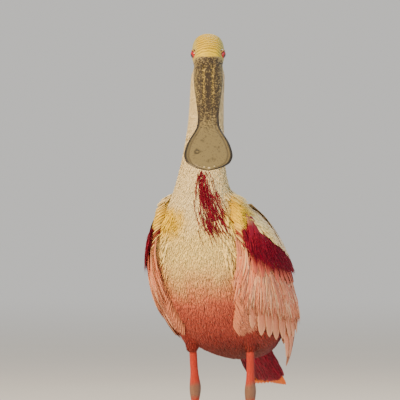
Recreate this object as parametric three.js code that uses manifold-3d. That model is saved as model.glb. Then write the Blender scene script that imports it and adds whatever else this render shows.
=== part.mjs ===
// A roseate spoonbill, life size, standing with its head up and its bill held down in front of its neck.
// Millimetres, +Z up. The bird is modelled looking along -Y with +X on its left side, then turned a little
// about the vertical, and the origin is at the bottom centre of its bounding box, on the floor.
import * as THREE from 'three';
import { mergeVertices } from 'three/addons/utils/BufferGeometryUtils.js';
import Module from 'manifold-3d';

const wasm = await Module();
wasm.setup();

// Driving dimensions
const bodyYaw = 22; // degrees the body is turned, so that its left side comes forward
const seam = 0.3; // gap between neighbouring nodes
const ankleHeight = 116;
const legSpacing = 36; // each leg from the middle plane
const billLength = 168.5;
const billPitch = 51; // degrees that the bill points down
const skullPitch = 45;
const skullCentre = new THREE.Vector3(0, -43, 515);
const billRoot = new THREE.Vector3(0, -57, 506);
const mouthGap = 0.25; // each mandible's inner face from the mouth line
const eyeRadius = 6.4;
const eyePlace = { forward: 6, up: 5.5, side: 14.6 }; // in the skull's own directions
const neckTop = 432; // height of the cut between the two neck lengths
const vaneThickness = 0.55;
const vaneRoll = 1; // how far a vane's lower edge is lifted and its upper edge sunk
const lowestTier = 0.9; // height of the primaries over the mantle
const rootHeight = 2.2; // the tiers draw together towards their roots, at this height
const rootSpacing = 0.55;
const tierSpacing = 2.9;
const forearm = { halfWidth: 17, depth: 5.6 };
const upperArm = { halfWidth: 18, depth: 5.6 };
const tailVaneThickness = 0.6;
const tailStep = 0.9; // from one vane of the tail down to the next one outward

// Stations of the body's centre line from inside the head, down the neck and back to the tail:
// y, z, and the radii to the side, to the back and to the front.
const bodyStations = [
  [-39, 521, 0, 0, 0], [-40, 514, 13, 12, 12], [-43, 492, 19.5, 19, 18.5], [-47, 462, 20.5, 19.5, 19.5],
  [-50, 432, 21.5, 20.5, 20.5], [-55, 402, 24.5, 23, 22.5], [-60, 376, 28, 27, 26], [-62, 352, 34.5, 35, 32],
  [-58, 326, 48, 48, 41], [-46, 298, 61, 59, 53], [-26, 268, 71, 67, 64], [0, 240, 75, 69, 69],
  [30, 215, 71, 64, 64], [60, 194, 60, 51, 50], [88, 178, 44, 36, 34], [110, 167, 27, 21, 20],
  [122, 161, 13, 10, 9], [127, 158.5, 0, 0, 0],
];

// The surface that the folded wings lie on: over the torso in front, and on past it to the wing tips.
const mantleStations = [
  [-62, 352, 38.5, 36, 33], [-58, 326, 49.5, 49.5, 42.5], [-46, 298, 62.5, 60.5, 54.5],
  [-26, 268, 72.5, 68.5, 65.5], [0, 240, 76.5, 70.5, 70.5], [30, 215, 74.5, 66, 66],
  [62, 194, 68, 56, 55], [95, 177, 56, 43, 41], [128, 160, 41, 31, 28], [156, 144, 27, 20, 17],
  [181, 128, 12, 9, 7],
];

// Half widths of the bill seen from above, and its half depths, by distance from its root.
const billStations = [
  [-1, 0, 0, 0], [0, 16.4, 12, 11], [10, 16.7, 11.6, 10.5], [31, 17.2, 9, 8.2], [56, 15, 6, 5.6],
  [76, 13, 4.2, 4], [88, 12.4, 3.4, 3.3], [104, 14.2, 2.8, 2.8], [123, 23, 2.4, 2.4],
  [134, 26.5, 2.3, 2.3], [144, 28.2, 2.3, 2.2], [151, 27.3, 2.2, 2.1], [158, 23.6, 2, 2],
  [164.5, 13.5, 1.8, 1.8], [billLength, 0, 0, 0],
];

// Stations of the skull along its own forward direction: distance, half width, radii up and down.
const skullStations = [
  [-29, 0, 0, 0], [-26, 11, 8, 8], [-19, 16.8, 15.6, 15], [-9, 19, 19.6, 18], [4, 19.3, 20.8, 18.5],
  [14, 18.6, 19, 17.5], [21, 17.4, 15.8, 15.5], [26, 13, 9, 10], [28.5, 0, 0, 0],
];

const sideways = new THREE.Vector3(1, 0, 0);

// One closed solid from a geometry, facing out.
function solidOf(geometry) {
  const bare = geometry.clone();
  bare.deleteAttribute('normal');
  bare.deleteAttribute('uv');
  const merged = mergeVertices(bare, 1e-4);
  const vertProperties = new Float32Array(merged.attributes.position.array);
  const triVerts = new Uint32Array(merged.index.array);
  const made = new wasm.Manifold(new wasm.Mesh({ numProp: 3, vertProperties, triVerts }));
  if (made.volume() > 0) return made;
  for (let i = 0; i < triVerts.length; i += 3) {
    [triVerts[i + 1], triVerts[i + 2]] = [triVerts[i + 2], triVerts[i + 1]];
  }
  return new wasm.Manifold(new wasm.Mesh({ numProp: 3, vertProperties, triVerts }));
}

// The geometry of a solid's largest closed surface.
function geometryOf(solid) {
  const parts = solid.decompose().sort((a, b) => b.volume() - a.volume());
  const mesh = parts[0].getMesh();
  return new THREE.BufferGeometry()
    .setAttribute('position', new THREE.BufferAttribute(new Float32Array(mesh.vertProperties), 3))
    .setIndex(new THREE.BufferAttribute(new Uint32Array(mesh.triVerts), 1));
}

const joined = (solids) => solids.reduce((whole, next) => whole.add(next));

function block(low, high) {
  const size = new THREE.Vector3().subVectors(high, low);
  const middle = new THREE.Vector3().addVectors(low, high).multiplyScalar(0.5);
  return new THREE.BoxGeometry(size.x, size.y, size.z).translate(middle.x, middle.y, middle.z);
}

// The part of a solid between two heights.
function slice(solid, low, high) {
  const slab = block(new THREE.Vector3(-500, -500, low), new THREE.Vector3(500, 500, high));
  return solid.intersect(solidOf(slab));
}

// A sphere's grid laid on surface(around, along), where both run from 0 to 1.
function wrapped(sides, rows, surface) {
  const geometry = new THREE.SphereGeometry(1, sides, rows);
  const { position, uv } = geometry.attributes;
  for (let i = 0; i < position.count; i++) {
    const point = surface(uv.getX(i) % 1, 1 - uv.getY(i));
    position.setXYZ(i, point.x, point.y, point.z);
  }
  return geometry;
}

// A thin sheet on place(along, across, face): along 0 to 1, across -1 to 1, face 0 below and 1 above.
// Both faces are split into triangles alike.
function plate(rows, columns, place) {
  const points = [];
  const index = [];
  const width = columns.length;
  const at = (row, column, face) => (face * rows.length + row) * width + column;
  for (const face of [0, 1]) {
    for (const row of rows) {
      for (const column of columns) points.push(...place(row, column, face).toArray());
    }
  }
  const quad = (a, b, c, d) => index.push(a, b, c, a, c, d);
  for (let r = 0; r < rows.length - 1; r++) {
    for (let c = 0; c < width - 1; c++) {
      quad(at(r, c, 1), at(r, c + 1, 1), at(r + 1, c + 1, 1), at(r + 1, c, 1));
      index.push(at(r, c, 0), at(r + 1, c + 1, 0), at(r, c + 1, 0));
      index.push(at(r, c, 0), at(r + 1, c, 0), at(r + 1, c + 1, 0));
    }
    quad(at(r, 0, 0), at(r, 0, 1), at(r + 1, 0, 1), at(r + 1, 0, 0));
    quad(at(r, width - 1, 1), at(r, width - 1, 0), at(r + 1, width - 1, 0), at(r + 1, width - 1, 1));
  }
  for (let c = 0; c < width - 1; c++) {
    quad(at(0, c, 0), at(0, c + 1, 0), at(0, c + 1, 1), at(0, c, 1));
    const end = rows.length - 1;
    quad(at(end, c, 1), at(end, c + 1, 1), at(end, c + 1, 0), at(end, c, 0));
  }
  return new THREE.BufferGeometry()
    .setAttribute('position', new THREE.BufferAttribute(new Float32Array(points), 3))
    .setIndex(index);
}

// A repeatable number from 0 to 1 for each whole number.
function seeded(n) {
  const wave = Math.sin(n * 12.9898 + 4.1) * 43758.5453;
  return wave - Math.floor(wave);
}

const smoothLine = (points) => (
  new THREE.CatmullRomCurve3(points.map((p) => new THREE.Vector3(...p)), false, 'catmullrom', 0.5)
);

// A body of elliptical sections along a smooth line in space.
class Loft {
  constructor(stations) {
    this.line = smoothLine(stations.map((s) => s.slice(0, 3)));
    this.radii = smoothLine(stations.map((s) => s.slice(3)));
    this.length = this.line.getLength();
  }

  at(t, angle, grow = 0) {
    const centre = this.line.getPoint(t);
    const tangent = this.line.getTangent(t);
    const back = new THREE.Vector3().crossVectors(sideways, tangent).normalize();
    const side = new THREE.Vector3().crossVectors(tangent, back).normalize();
    const radii = this.radii.getPoint(t);
    const x = Math.cos(angle) * (Math.max(radii.x, 0) + grow);
    const y = Math.sin(angle) * (Math.max(Math.sin(angle) > 0 ? radii.y : radii.z, 0) + grow);
    return centre.addScaledVector(side, x).addScaledVector(back, y);
  }

  // The point at a distance along the line.
  atLength(distance, angle) {
    return this.at(this.line.getUtoTmapping(distance / this.length), angle);
  }

  geometry(sides, rows, grow = 0) {
    return wrapped(sides, rows, (around, along) => {
      const swell = along > 0 && along < 1 ? grow : 0;
      return this.at(along, around * 2 * Math.PI, swell);
    });
  }
}

const inMiddle = ([y, z, side, back, front]) => [0, y, z, side, back, front];
const body = new Loft(bodyStations.map(inMiddle));
const mantle = new Loft(mantleStations.map(inMiddle));

// The body, swollen by grow where it cuts its neighbours.
const bodySolid = (grow = 0) => solidOf(body.geometry(24, 27, grow));

// The head's own frame: -Y forward and +Z up before its pitch, turned back so that the face looks ahead.
const headTurn = new THREE.Matrix4().makeRotationZ(THREE.MathUtils.degToRad(bodyYaw));
function headFrame(origin, pitch) {
  const turn = headTurn.clone().multiply(new THREE.Matrix4().makeRotationX(THREE.MathUtils.degToRad(pitch)));
  return turn.setPosition(origin);
}
const skullFrame = headFrame(skullCentre, skullPitch);
const billFrame = headFrame(
  billRoot.clone().sub(skullCentre).applyMatrix4(headTurn).add(skullCentre), billPitch,
);

const skullUpper = smoothLine(skullStations.map(([distance, width, up]) => [distance, width, up]));
const skullLower = smoothLine(skullStations.map(([distance, width, , down]) => [distance, width, down]));
function skullPoint(around, along, grow = 0) {
  const upper = skullUpper.getPoint(along);
  const angle = around * 2 * Math.PI;
  const swell = along > 0 && along < 1 ? grow : 0;
  const depth = Math.sin(angle) > 0 ? upper.z : skullLower.getPoint(along).z;
  return new THREE.Vector3(
    Math.cos(angle) * (upper.y + swell), -upper.x, Math.sin(angle) * (depth + swell),
  ).applyMatrix4(skullFrame);
}

const eyeCentre = (side) => new THREE.Vector3(
  side * eyePlace.side, -eyePlace.forward, eyePlace.up,
).applyMatrix4(skullFrame);

// Lids: a thick ring round the eye, facing sideways and a little forward.
function lidGeometry(side) {
  const outward = new THREE.Matrix4().makeRotationY(side * Math.PI / 2);
  const forward = new THREE.Matrix4().makeRotationZ(-side * THREE.MathUtils.degToRad(14));
  const centre = new THREE.Vector3(side * (eyePlace.side + 2.6), -eyePlace.forward, eyePlace.up);
  const frame = skullFrame.clone().multiply(new THREE.Matrix4().makeTranslation(centre));
  return new THREE.TorusGeometry(5.9, 1.5, 5, 12).applyMatrix4(frame.multiply(forward).multiply(outward));
}

const skullSolid = (grow = 0) => solidOf(wrapped(14, 10, (a, l) => skullPoint(a, l, grow)));

// One mandible: a dome above or below the mouth line.
function mandibleGeometry(upper) {
  const shape = smoothLine(billStations.map(([distance, halfWidth, up, down]) => (
    [distance, upper ? halfWidth : Math.max(halfWidth - 0.7, 0), upper ? up : down]
  )));
  const sign = upper ? 1 : -1;
  return wrapped(12, 20, (around, along) => {
    const { x: distance, y: halfWidth, z: depth } = shape.getPoint(along);
    const angle = around * 2 * Math.PI;
    const rise = Math.max(Math.sin(angle), 0) * Math.max(depth - mouthGap, 0);
    const tip = upper ? distance : distance * 0.994;
    return new THREE.Vector3(Math.cos(angle) * Math.max(halfWidth, 0), -tip, sign * (mouthGap + rise))
      .applyMatrix4(billFrame);
  });
}

// Nostril slits in the bill's two long grooves, near its root.
function nostrilGeometry(side) {
  return new THREE.CapsuleGeometry(0.9, 7, 2, 6).translate(side * 5.6, -14, 11.6).applyMatrix4(billFrame);
}

// A feather vane on the mantle. Its root and tip are distance and angle there; height is how far over
// the mantle it lies. Its lower edge is lifted over the vane below, and its upper edge sinks under the next.
const longVane = [[0, 0.4], [0.42, 0.97], [0.84, 0.86], [1, 0.14]];
const shortVane = [[0, 0.45], [0.45, 1], [0.82, 0.86], [1, 0.2]];
function mantleVane({ root, tip, width, height, shape }) {
  const step = 0.5;
  const turn = 0.01;
  return plate(shape.map(([along]) => along), [-1, 0, 1], (along, across, face) => {
    const distance = THREE.MathUtils.lerp(root[0], tip[0], along);
    const angle = THREE.MathUtils.degToRad(THREE.MathUtils.lerp(root[1], tip[1], along));
    const here = mantle.atLength(distance, angle);
    const forward = mantle.atLength(distance + step, angle).sub(here).divideScalar(step);
    const around = mantle.atLength(distance, angle + turn).sub(here).divideScalar(turn);
    const outward = new THREE.Vector3().crossVectors(forward, around).normalize();
    const swing = THREE.MathUtils.degToRad(tip[1] - root[1]);
    const path = forward.clone().multiplyScalar(tip[0] - root[0]).addScaledVector(around, swing);
    const cross = new THREE.Vector3().crossVectors(outward, path).normalize();
    const [, fullness] = shape.find(([share]) => share === along);
    const aside = 0.5 * width * fullness * across;
    const stretch = forward.dot(forward);
    const shear = forward.dot(around);
    const girth = around.dot(around);
    const area = stretch * girth - shear * shear;
    const [u, v] = [cross.dot(forward) * aside, cross.dot(around) * aside];
    const further = (girth * u - shear * v) / area;
    const higher = (stretch * v - shear * u) / area;
    const place = mantle.atLength(distance + further, angle + higher);
    const sunk = rootHeight + rootSpacing * height;
    const above = THREE.MathUtils.lerp(sunk, height, THREE.MathUtils.smoothstep(along, 0, 0.4));
    return place.addScaledVector(outward, above - vaneRoll * across * fullness + face * vaneThickness);
  });
}

// The folded arm on the mantle: the shoulder and wrist in front, the elbow behind.
const shoulder = [18, 58];
const elbow = [142, 50];
const wrist = [22, -8];
const between = (from, to, t) => from.map((value, i) => THREE.MathUtils.lerp(value, to[i], t));

// A flat bolster of flesh along one length of the arm, which the vanes grow from.
function armGeometry(from, to, { halfWidth, depth }) {
  return wrapped(8, 7, (around, along) => {
    const swell = Math.sin(Math.PI * along) ** 0.5;
    const turn = around * 2 * Math.PI;
    const [distance, degrees] = between(from, to, along * 1.12 - 0.06);
    const angle = THREE.MathUtils.degToRad(degrees);
    const centre = mantle.line.getPoint(mantle.line.getUtoTmapping(distance / mantle.length));
    const girth = mantle.atLength(distance, angle).distanceTo(centre);
    const place = mantle.atLength(distance, angle + Math.cos(turn) * halfWidth * swell / girth);
    const height = depth * (1.04 + Math.sin(turn) * swell);
    return place.addScaledVector(place.clone().sub(centre).normalize(), height);
  });
}

// The wing's tiers, from the lowest: primaries, secondaries, greater coverts, lesser coverts, scapulars.
// Each has its vanes' roots along the arm, their tips, width and number.
const forearmRoots = (t) => between(wrist, elbow, 0.05 + 0.9 * t);
const wingTiers = [
  {
    count: 3, root: (t) => forearmRoots(0.4 * t), tip: (t) => [286 + 52 * t, -24 + 48 * t],
    width: 20, shape: longVane,
  },
  {
    count: 8, root: forearmRoots, tip: (t) => [146 + 160 * t ** 0.9, -50 + 106 * t ** 1.2],
    width: 26, shape: longVane,
  },
  { count: 7, root: forearmRoots, tip: (t) => [104 + 140 * t, -38 + 92 * t], width: 25, shape: shortVane },
  { count: 8, root: forearmRoots, tip: (t) => [70 + 124 * t, -26 + 84 * t], width: 20, shape: shortVane },
  {
    count: 4, root: (t) => between([36, 46], [48, 67], t), tip: (t) => [112 + 116 * t, 26 + 50 * t],
    width: 21, shape: shortVane,
  },
];

function wingSolid() {
  const vanes = wingTiers.flatMap(({ count, root, tip, width, shape }, tier) => (
    Array.from({ length: count }, (_, i) => {
      const t = i / (count - 1);
      const [tipDistance, tipAngle] = tip(t);
      const varied = [tipDistance + 3 * (seeded(tier * 31 + i) - 0.5), tipAngle];
      const height = lowestTier + tier * tierSpacing;
      return solidOf(mantleVane({ root: root(t), tip: varied, width, height, shape }));
    })
  ));
  return joined([
    solidOf(armGeometry(wrist, elbow, forearm)),
    solidOf(armGeometry(shoulder, elbow, upperArm)),
    ...vanes,
  ]);
}

// The tail: a stump, nine long vanes in a fan, and coverts in a tier above and one below. The middle
// vane of a tier is the highest, and each one outward lies a step lower.
const tailRoot = new THREE.Vector3(0, 96, 170);
const tailPitch = 36;
const tailTiers = [
  { reach: 2, spread: 10, start: 14, length: 52, width: 21, height: -8, dip: -1.5 },
  { reach: 4, spread: 13, start: 14, length: 82, width: 18, height: 0, dip: 0 },
  { reach: 2, spread: 13, start: 14, length: 46, width: 21, height: 5.4, dip: 1.5 },
];
function tailSolid() {
  const lie = new THREE.Matrix4().makeRotationX(THREE.MathUtils.degToRad(-tailPitch)).setPosition(tailRoot);
  const vanes = tailTiers.flatMap(({ reach, spread, start, length, width, height, dip }) => (
    Array.from({ length: 2 * reach + 1 }, (_, i) => {
      const place = i - reach;
      const rank = 2 * Math.abs(place) - (place > 0 ? 1 : 0);
      const angle = THREE.MathUtils.degToRad(spread * place / reach);
      return solidOf(plate(longVane.map(([along]) => along), [-1, 1], (along, across, face) => {
        const [, fullness] = longVane.find(([share]) => share === along);
        const aside = 0.5 * width * fullness * across;
        const distance = start + (length - 1.2 * Math.abs(place)) * along;
        const x = Math.sin(angle) * distance + Math.cos(angle) * aside;
        const y = Math.cos(angle) * distance - Math.sin(angle) * aside;
        const z = height - tailStep * rank - dip * along + face * tailVaneThickness;
        return new THREE.Vector3(x, y, z).applyMatrix4(lie);
      }));
    })
  ));
  const stump = new THREE.SphereGeometry(1, 14, 8).scale(14, 26, 8.5).translate(0, 16, -2).applyMatrix4(lie);
  return joined([solidOf(stump), ...vanes]);
}

// The red tuft down the front of the neck: tapered locks that overlap and sweep down and aside.
const tuftTop = 376;
const tuftDrop = 64; // from the highest root to the lowest
const locksInTuft = 12;
const tuftShift = [11, 26]; // from the middle plane, at the highest and the lowest root
function tuftLock(i) {
  const share = i / (locksInTuft - 1);
  const root = (seeded(i) - 0.5) * (5 + 11 * share);
  const length = 24 + 12 * seeded(i + 40);
  const sweep = 0.35 * root + 9 * (seeded(i + 80) - 0.35);
  return solidOf(plate([0, 0.35, 0.7, 1], [-1, 1], (along, across, face) => {
    const z = tuftTop - tuftDrop * share - length * along;
    const reach = body.radii.getPoint(stationAtHeight(z));
    const place = body.at(stationAtHeight(z), 1.5 * Math.PI);
    place.x = THREE.MathUtils.lerp(...tuftShift, share) + root + sweep * along ** 1.5;
    place.x += across * 2.1 * (1 - 0.8 * along);
    place.y += reach.z * (1 - Math.sqrt(Math.max(1 - (place.x / reach.x) ** 2, 0)));
    place.y += 1.2 - 3.4 * Math.sin(along * 2.3) - face * 1.1;
    return place;
  }));
}

// The body line's parameter where its front edge has that height.
function stationAtHeight(z) {
  let [low, high] = [0.1, 0.75];
  for (let i = 0; i < 24; i++) {
    const middle = 0.5 * (low + high);
    if (body.at(middle, 1.5 * Math.PI).z > z) low = middle;
    else high = middle;
  }
  return low;
}

// The legs, each a line of stations: x, y, z and the radii to the side, front and back.
const legs = {
  left: { x: legSpacing, hip: -6, knee: 3, ankle: 3, foot: -3, ankleDrop: 3 },
  right: { x: -legSpacing, hip: -12, knee: -5, ankle: 5, foot: 2, ankleDrop: 0 },
};
const footHeight = 15;
function legLoft({ x, knee, ankle, foot, ankleDrop }) {
  const z = ankleHeight - ankleDrop;
  const shankTop = 176;
  const line = (h) => (h > z ? THREE.MathUtils.lerp(ankle, knee, (h - z) / (shankTop - z))
    : THREE.MathUtils.lerp(foot, ankle, h / z));
  const sections = [
    [shankTop + 2, 0, 0], [shankTop, 3.5, 3.5], [162, 4.6, 4.8], [z + 20, 4.9, 5.3], [z + 9, 5.9, 6.6],
    [z, 6.9, 7.8], [z - 10, 6, 7], [z - 20, 4.3, 5.1], [z - 45, 3.9, 4.7], [40, 4, 4.7], [24, 4.8, 5.4],
    [13, 6.4, 6.6], [6, 7.2, 8.4], [1, 5, 6], [0.5, 0, 0],
  ];
  return new Loft(sections.map(([h, side, depth]) => [x, line(h), h, side, depth, depth]));
}
const shankCut = (leg) => ankleHeight - leg.ankleDrop + 10;

// The feathered thigh, down to the bare shank.
function thighLoft({ x, hip, knee }) {
  return new Loft([
    [x * 0.9, hip, 232, 0, 0, 0], [x * 0.92, hip, 228, 12, 14, 14], [x * 0.96, hip, 205, 20, 25, 25],
    [x, hip * 0.6 + knee * 0.4, 186, 14, 17, 17], [x, knee, 170, 8.8, 9.8, 9.8],
    [x, knee, 160.5, 6.2, 6.6, 6.6], [x, knee, 158, 0, 0, 0],
  ]);
}

// Pointed vanes round the thigh's lower end.
function thighFringe({ x, knee }) {
  const count = 8;
  const centre = new THREE.Vector3(x, knee, 0);
  return Array.from({ length: count }, (_, i) => {
    const angle = (i + 0.5) / count * 2 * Math.PI;
    const out = new THREE.Vector3(Math.cos(angle), Math.sin(angle), 0);
    const across = new THREE.Vector3(-out.y, out.x, 0);
    return solidOf(plate([0, 0.5, 1], [-1, 1], (along, side, face) => centre.clone()
      .addScaledVector(out, 9.4 - 2.6 * along + face * 0.9)
      .addScaledVector(across, side * 3.3 * (1 - 0.72 * along))
      .setZ(174 - (22 + 4 * seeded(i)) * along)));
  });
}

// The foot: three toes in front and one behind, flat below, with webs between the front toes.
const toes = [
  { name: 'inner', turn: 27, length: 58, thickness: 4.2 },
  { name: 'middle', turn: 0, length: 79, thickness: 4.5 },
  { name: 'outer', turn: -29, length: 68, thickness: 4.3 },
  { name: 'hind', turn: 172, length: 30, thickness: 3.8 },
];
const clawLength = 9;
const toeTurn = (toe, side) => THREE.MathUtils.degToRad(side * toe.turn);
function toeSolid(toe, side, centre) {
  const r = toe.thickness;
  const joints = Array.from({ length: 7 }, (_, i) => {
    const share = (i + 0.7) / 7;
    const swell = i % 2 ? 1 : 0.86;
    const radius = r * swell * (1 - 0.22 * share);
    return [0, -toe.length * share, radius * 0.82, radius, radius, radius];
  });
  const loft = new Loft([
    [0, 2, r, 0, 0, 0], [0, 0, r, r, r, r], ...joints, [0, -toe.length, r * 0.55, 0, 0, 0],
  ]);
  return solidOf(loft.geometry(6, 8).rotateZ(toeTurn(toe, side)).translate(centre.x, centre.y, 0));
}

function webSolid(first, second, side, centre) {
  const [a, b] = [first, second].map((toe) => ({ angle: toeTurn(toe, side), reach: toe.length * 0.45 }));
  return solidOf(plate([0, 0.4, 0.7, 1], [-1, -0.4, 0.4, 1], (along, across, face) => {
    const share = (across + 1) / 2;
    const angle = THREE.MathUtils.lerp(a.angle, b.angle, share);
    const scoop = 1 - 0.42 * (1 - across * across);
    const reach = 4 + THREE.MathUtils.lerp(a.reach, b.reach, share) * along * scoop;
    return new THREE.Vector3(
      centre.x + Math.sin(angle) * reach, centre.y - Math.cos(angle) * reach, 2 + face * 1.2,
    );
  }));
}

function footSolid(leg, side, legSolid) {
  const centre = new THREE.Vector3(leg.x, leg.foot, 0);
  const whole = joined([
    slice(legSolid, 0, footHeight),
    ...toes.map((toe) => toeSolid(toe, side, centre)),
    webSolid(toes[0], toes[1], side, centre),
    webSolid(toes[1], toes[2], side, centre),
  ]);
  return slice(whole, 0, footHeight);
}

// A claw: a bent cone that leaves the toe's end just above the ground.
function clawGeometry(toe, grow = 0) {
  const r = toe.thickness * 0.46;
  const section = (share, drop, size) => {
    const radius = r * size + grow;
    return [0, -clawLength * share, r + 0.6 - drop, radius, radius, radius];
  };
  const loft = new Loft([
    [0, 0.5 + grow, r + 0.6, 0, 0, 0], [0, grow, r + 0.6, r + grow, r + grow, r + grow],
    section(0.4, 0, 0.85), section(0.75, 0.5, 0.55), [0, -clawLength - grow, 0.9, 0, 0, 0],
  ]);
  return loft.geometry(6, 6);
}

// Materials
const finish = (color, roughness) => new THREE.MeshStandardMaterial({ color, roughness, metalness: 0 });
const materials = {
  whitePlumage: finish('#e6d9bd', 0.9),
  pinkPlumage: finish('#cf7a62', 0.9),
  wingPlumage: finish('#d9a389', 0.85),
  tailPlumage: finish('#a1402f', 0.85),
  faceSkin: finish('#cdb45c', 0.6),
  billHorn: finish('#8b7f63', 0.45),
  eyeRed: finish('#a8152a', 0.1),
  legSkin: finish('#c8503f', 0.5),
  clawHorn: finish('#3a2f2b', 0.4),
};

const bird = new THREE.Group();
function addNode(name, solid, material) {
  const mesh = new THREE.Mesh(geometryOf(solid), material);
  mesh.name = name;
  bird.add(mesh);
  return mesh;
}

// Torso and neck: one body, parted by two thin cuts.
const whole = bodySolid();
const chestCut = (gap) => solidOf(new THREE.BoxGeometry(400, 400, 400).translate(0, 0, 200 + gap / 2)
  .rotateX(Math.atan2(54, 78)).translate(0, -98, 296));
const neckPart = whole.intersect(chestCut(seam));
const torsoSolid = whole.subtract(chestCut(-seam));
addNode('torso', torsoSolid, materials.pinkPlumage);
const swollenBody = bodySolid(seam);
const swollenTorso = swollenBody.subtract(chestCut(seam));

// Head, bill and eyes.
const eyes = [1, -1].map((side) => ({ side, centre: eyeCentre(side) }));
const eyeSolid = (centre, radius) => solidOf(new THREE.SphereGeometry(radius, 12, 8).translate(...centre));
let head = skullSolid();
for (const { side, centre } of eyes) {
  head = head.add(solidOf(lidGeometry(side))).subtract(eyeSolid(centre, eyeRadius + seam));
}
addNode('head', head, materials.faceSkin);
const swollenSkull = skullSolid(seam);
for (const { side, centre } of eyes) {
  addNode(side > 0 ? 'eye_left' : 'eye_right', eyeSolid(centre, eyeRadius), materials.eyeRed);
}
const nostrils = joined([1, -1].map((side) => solidOf(nostrilGeometry(side))));
const upperBill = solidOf(mandibleGeometry(true)).subtract(swollenSkull).subtract(nostrils);
addNode('bill_upper', upperBill, materials.billHorn);
const lowerBill = solidOf(mandibleGeometry(false)).subtract(swollenSkull).subtract(swollenBody);
addNode('bill_lower', lowerBill, materials.billHorn);

// Neck in two lengths; the lower one carries the tuft.
const neckBelowHead = neckPart.subtract(swollenSkull);
addNode('neck_upper', slice(neckBelowHead, neckTop + seam / 2, 600), materials.whitePlumage);
const neckLower = slice(neckBelowHead, 100, neckTop - seam / 2);
const tuft = joined(Array.from({ length: locksInTuft }, (_, i) => tuftLock(i))).subtract(swollenTorso);
addNode('neck_lower', neckLower.add(tuft), materials.whitePlumage);

// Legs and feet.
const swollenThighs = [];
for (const [name, leg] of Object.entries(legs)) {
  const side = Math.sign(leg.x);
  const thighBody = solidOf(thighLoft(leg).geometry(12, 12));
  const legBody = solidOf(legLoft(leg).geometry(10, 24));
  const clearShank = slice(solidOf(legLoft(leg).geometry(10, 24, seam)), 100, 158.5);
  const swollenThigh = solidOf(thighLoft(leg).geometry(12, 12, seam));
  swollenThighs.push(joined([swollenThigh, ...thighFringe(leg)]));
  const thigh = joined([thighBody, ...thighFringe(leg)]).subtract(swollenBody).subtract(clearShank);
  addNode(`thigh_${name}`, thigh, materials.pinkPlumage);
  const shank = slice(legBody.subtract(swollenThigh), shankCut(leg) + seam / 2, 200);
  addNode(`shank_${name}`, shank, materials.legSkin);
  const tarsus = slice(legBody, footHeight + seam / 2, shankCut(leg) - seam / 2);
  addNode(`tarsus_${name}`, tarsus, materials.legSkin);
  let foot = footSolid(leg, side, legBody);
  for (const toe of toes) {
    const place = (geometry) => geometry.translate(0, -toe.length + 1.5, 0).rotateZ(toeTurn(toe, side))
      .translate(leg.x, leg.foot, 0);
    foot = foot.subtract(solidOf(place(clawGeometry(toe, seam))));
    addNode(`claw_${name}_${toe.name}`, solidOf(place(clawGeometry(toe))), materials.clawHorn);
  }
  addNode(`foot_${name}`, slice(foot, 0, footHeight - seam / 2), materials.legSkin);
}

// Wings: the left one, and its mirror image.
const wing = wingSolid().subtract(swollenBody).subtract(joined(swollenThighs));
const leftWing = addNode('wing_left', wing, materials.wingPlumage);
const rightWing = new THREE.Mesh(leftWing.geometry, materials.wingPlumage);
rightWing.name = 'wing_right';
rightWing.scale.x = -1;
bird.add(rightWing);

// Tail, between the wing tips.
addNode('tail', tailSolid().subtract(swollenBody), materials.tailPlumage);

bird.rotation.z = THREE.MathUtils.degToRad(-bodyYaw);
const spoonbill = new THREE.Group();
spoonbill.add(bird);
const box = new THREE.Box3().setFromObject(spoonbill, true);
const centre = box.getCenter(new THREE.Vector3());
bird.position.set(-centre.x, -centre.y, -box.min.z);

export default spoonbill;
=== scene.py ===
import math
import bpy
import numpy as np
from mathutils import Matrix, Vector


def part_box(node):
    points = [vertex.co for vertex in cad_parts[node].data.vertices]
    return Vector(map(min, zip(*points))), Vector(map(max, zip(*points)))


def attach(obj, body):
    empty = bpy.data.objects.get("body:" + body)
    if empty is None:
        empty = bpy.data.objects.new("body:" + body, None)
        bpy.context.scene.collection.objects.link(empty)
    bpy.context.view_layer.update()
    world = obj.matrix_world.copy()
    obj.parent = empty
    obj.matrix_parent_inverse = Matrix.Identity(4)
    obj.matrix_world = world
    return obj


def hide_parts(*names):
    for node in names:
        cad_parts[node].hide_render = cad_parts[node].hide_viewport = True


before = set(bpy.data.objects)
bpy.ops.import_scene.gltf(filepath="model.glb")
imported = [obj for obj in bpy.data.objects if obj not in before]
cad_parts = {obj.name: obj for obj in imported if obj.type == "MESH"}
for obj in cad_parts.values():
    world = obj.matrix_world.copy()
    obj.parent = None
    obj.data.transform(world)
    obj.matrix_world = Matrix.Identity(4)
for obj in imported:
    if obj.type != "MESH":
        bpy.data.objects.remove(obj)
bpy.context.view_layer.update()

print("frame loaded:", len(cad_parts), "nodes")

# The bird is shaped in millimetres in its own frame: x to its left, y to its back, z up.
# The body's frame is turned about z from the row frame, and the head is turned back to look along -Y.
pose = {
    "bodyYaw": math.radians(22),
    "skullPitch": math.radians(45),
    "billPitch": math.radians(51),
    "skullCentre": np.array([0.0, -43.0, 515.0]),
    "billRootFromSkull": np.array([0.0, -14.0, -9.0]),
    "eye": {"side": 14.6, "forward": 6.0, "up": 5.5, "radius": 6.4},
}


def turnedX(points, angle):
    x, y, z = np.moveaxis(np.asarray(points, float), -1, 0)
    c = math.cos(angle)
    s = math.sin(angle)
    return np.stack([x, y * c - z * s, y * s + z * c], -1)


def turnedZ(points, angle):
    x, y, z = np.moveaxis(np.asarray(points, float), -1, 0)
    c = math.cos(angle)
    s = math.sin(angle)
    return np.stack([x * c - y * s, x * s + y * c, z], -1)


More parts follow.
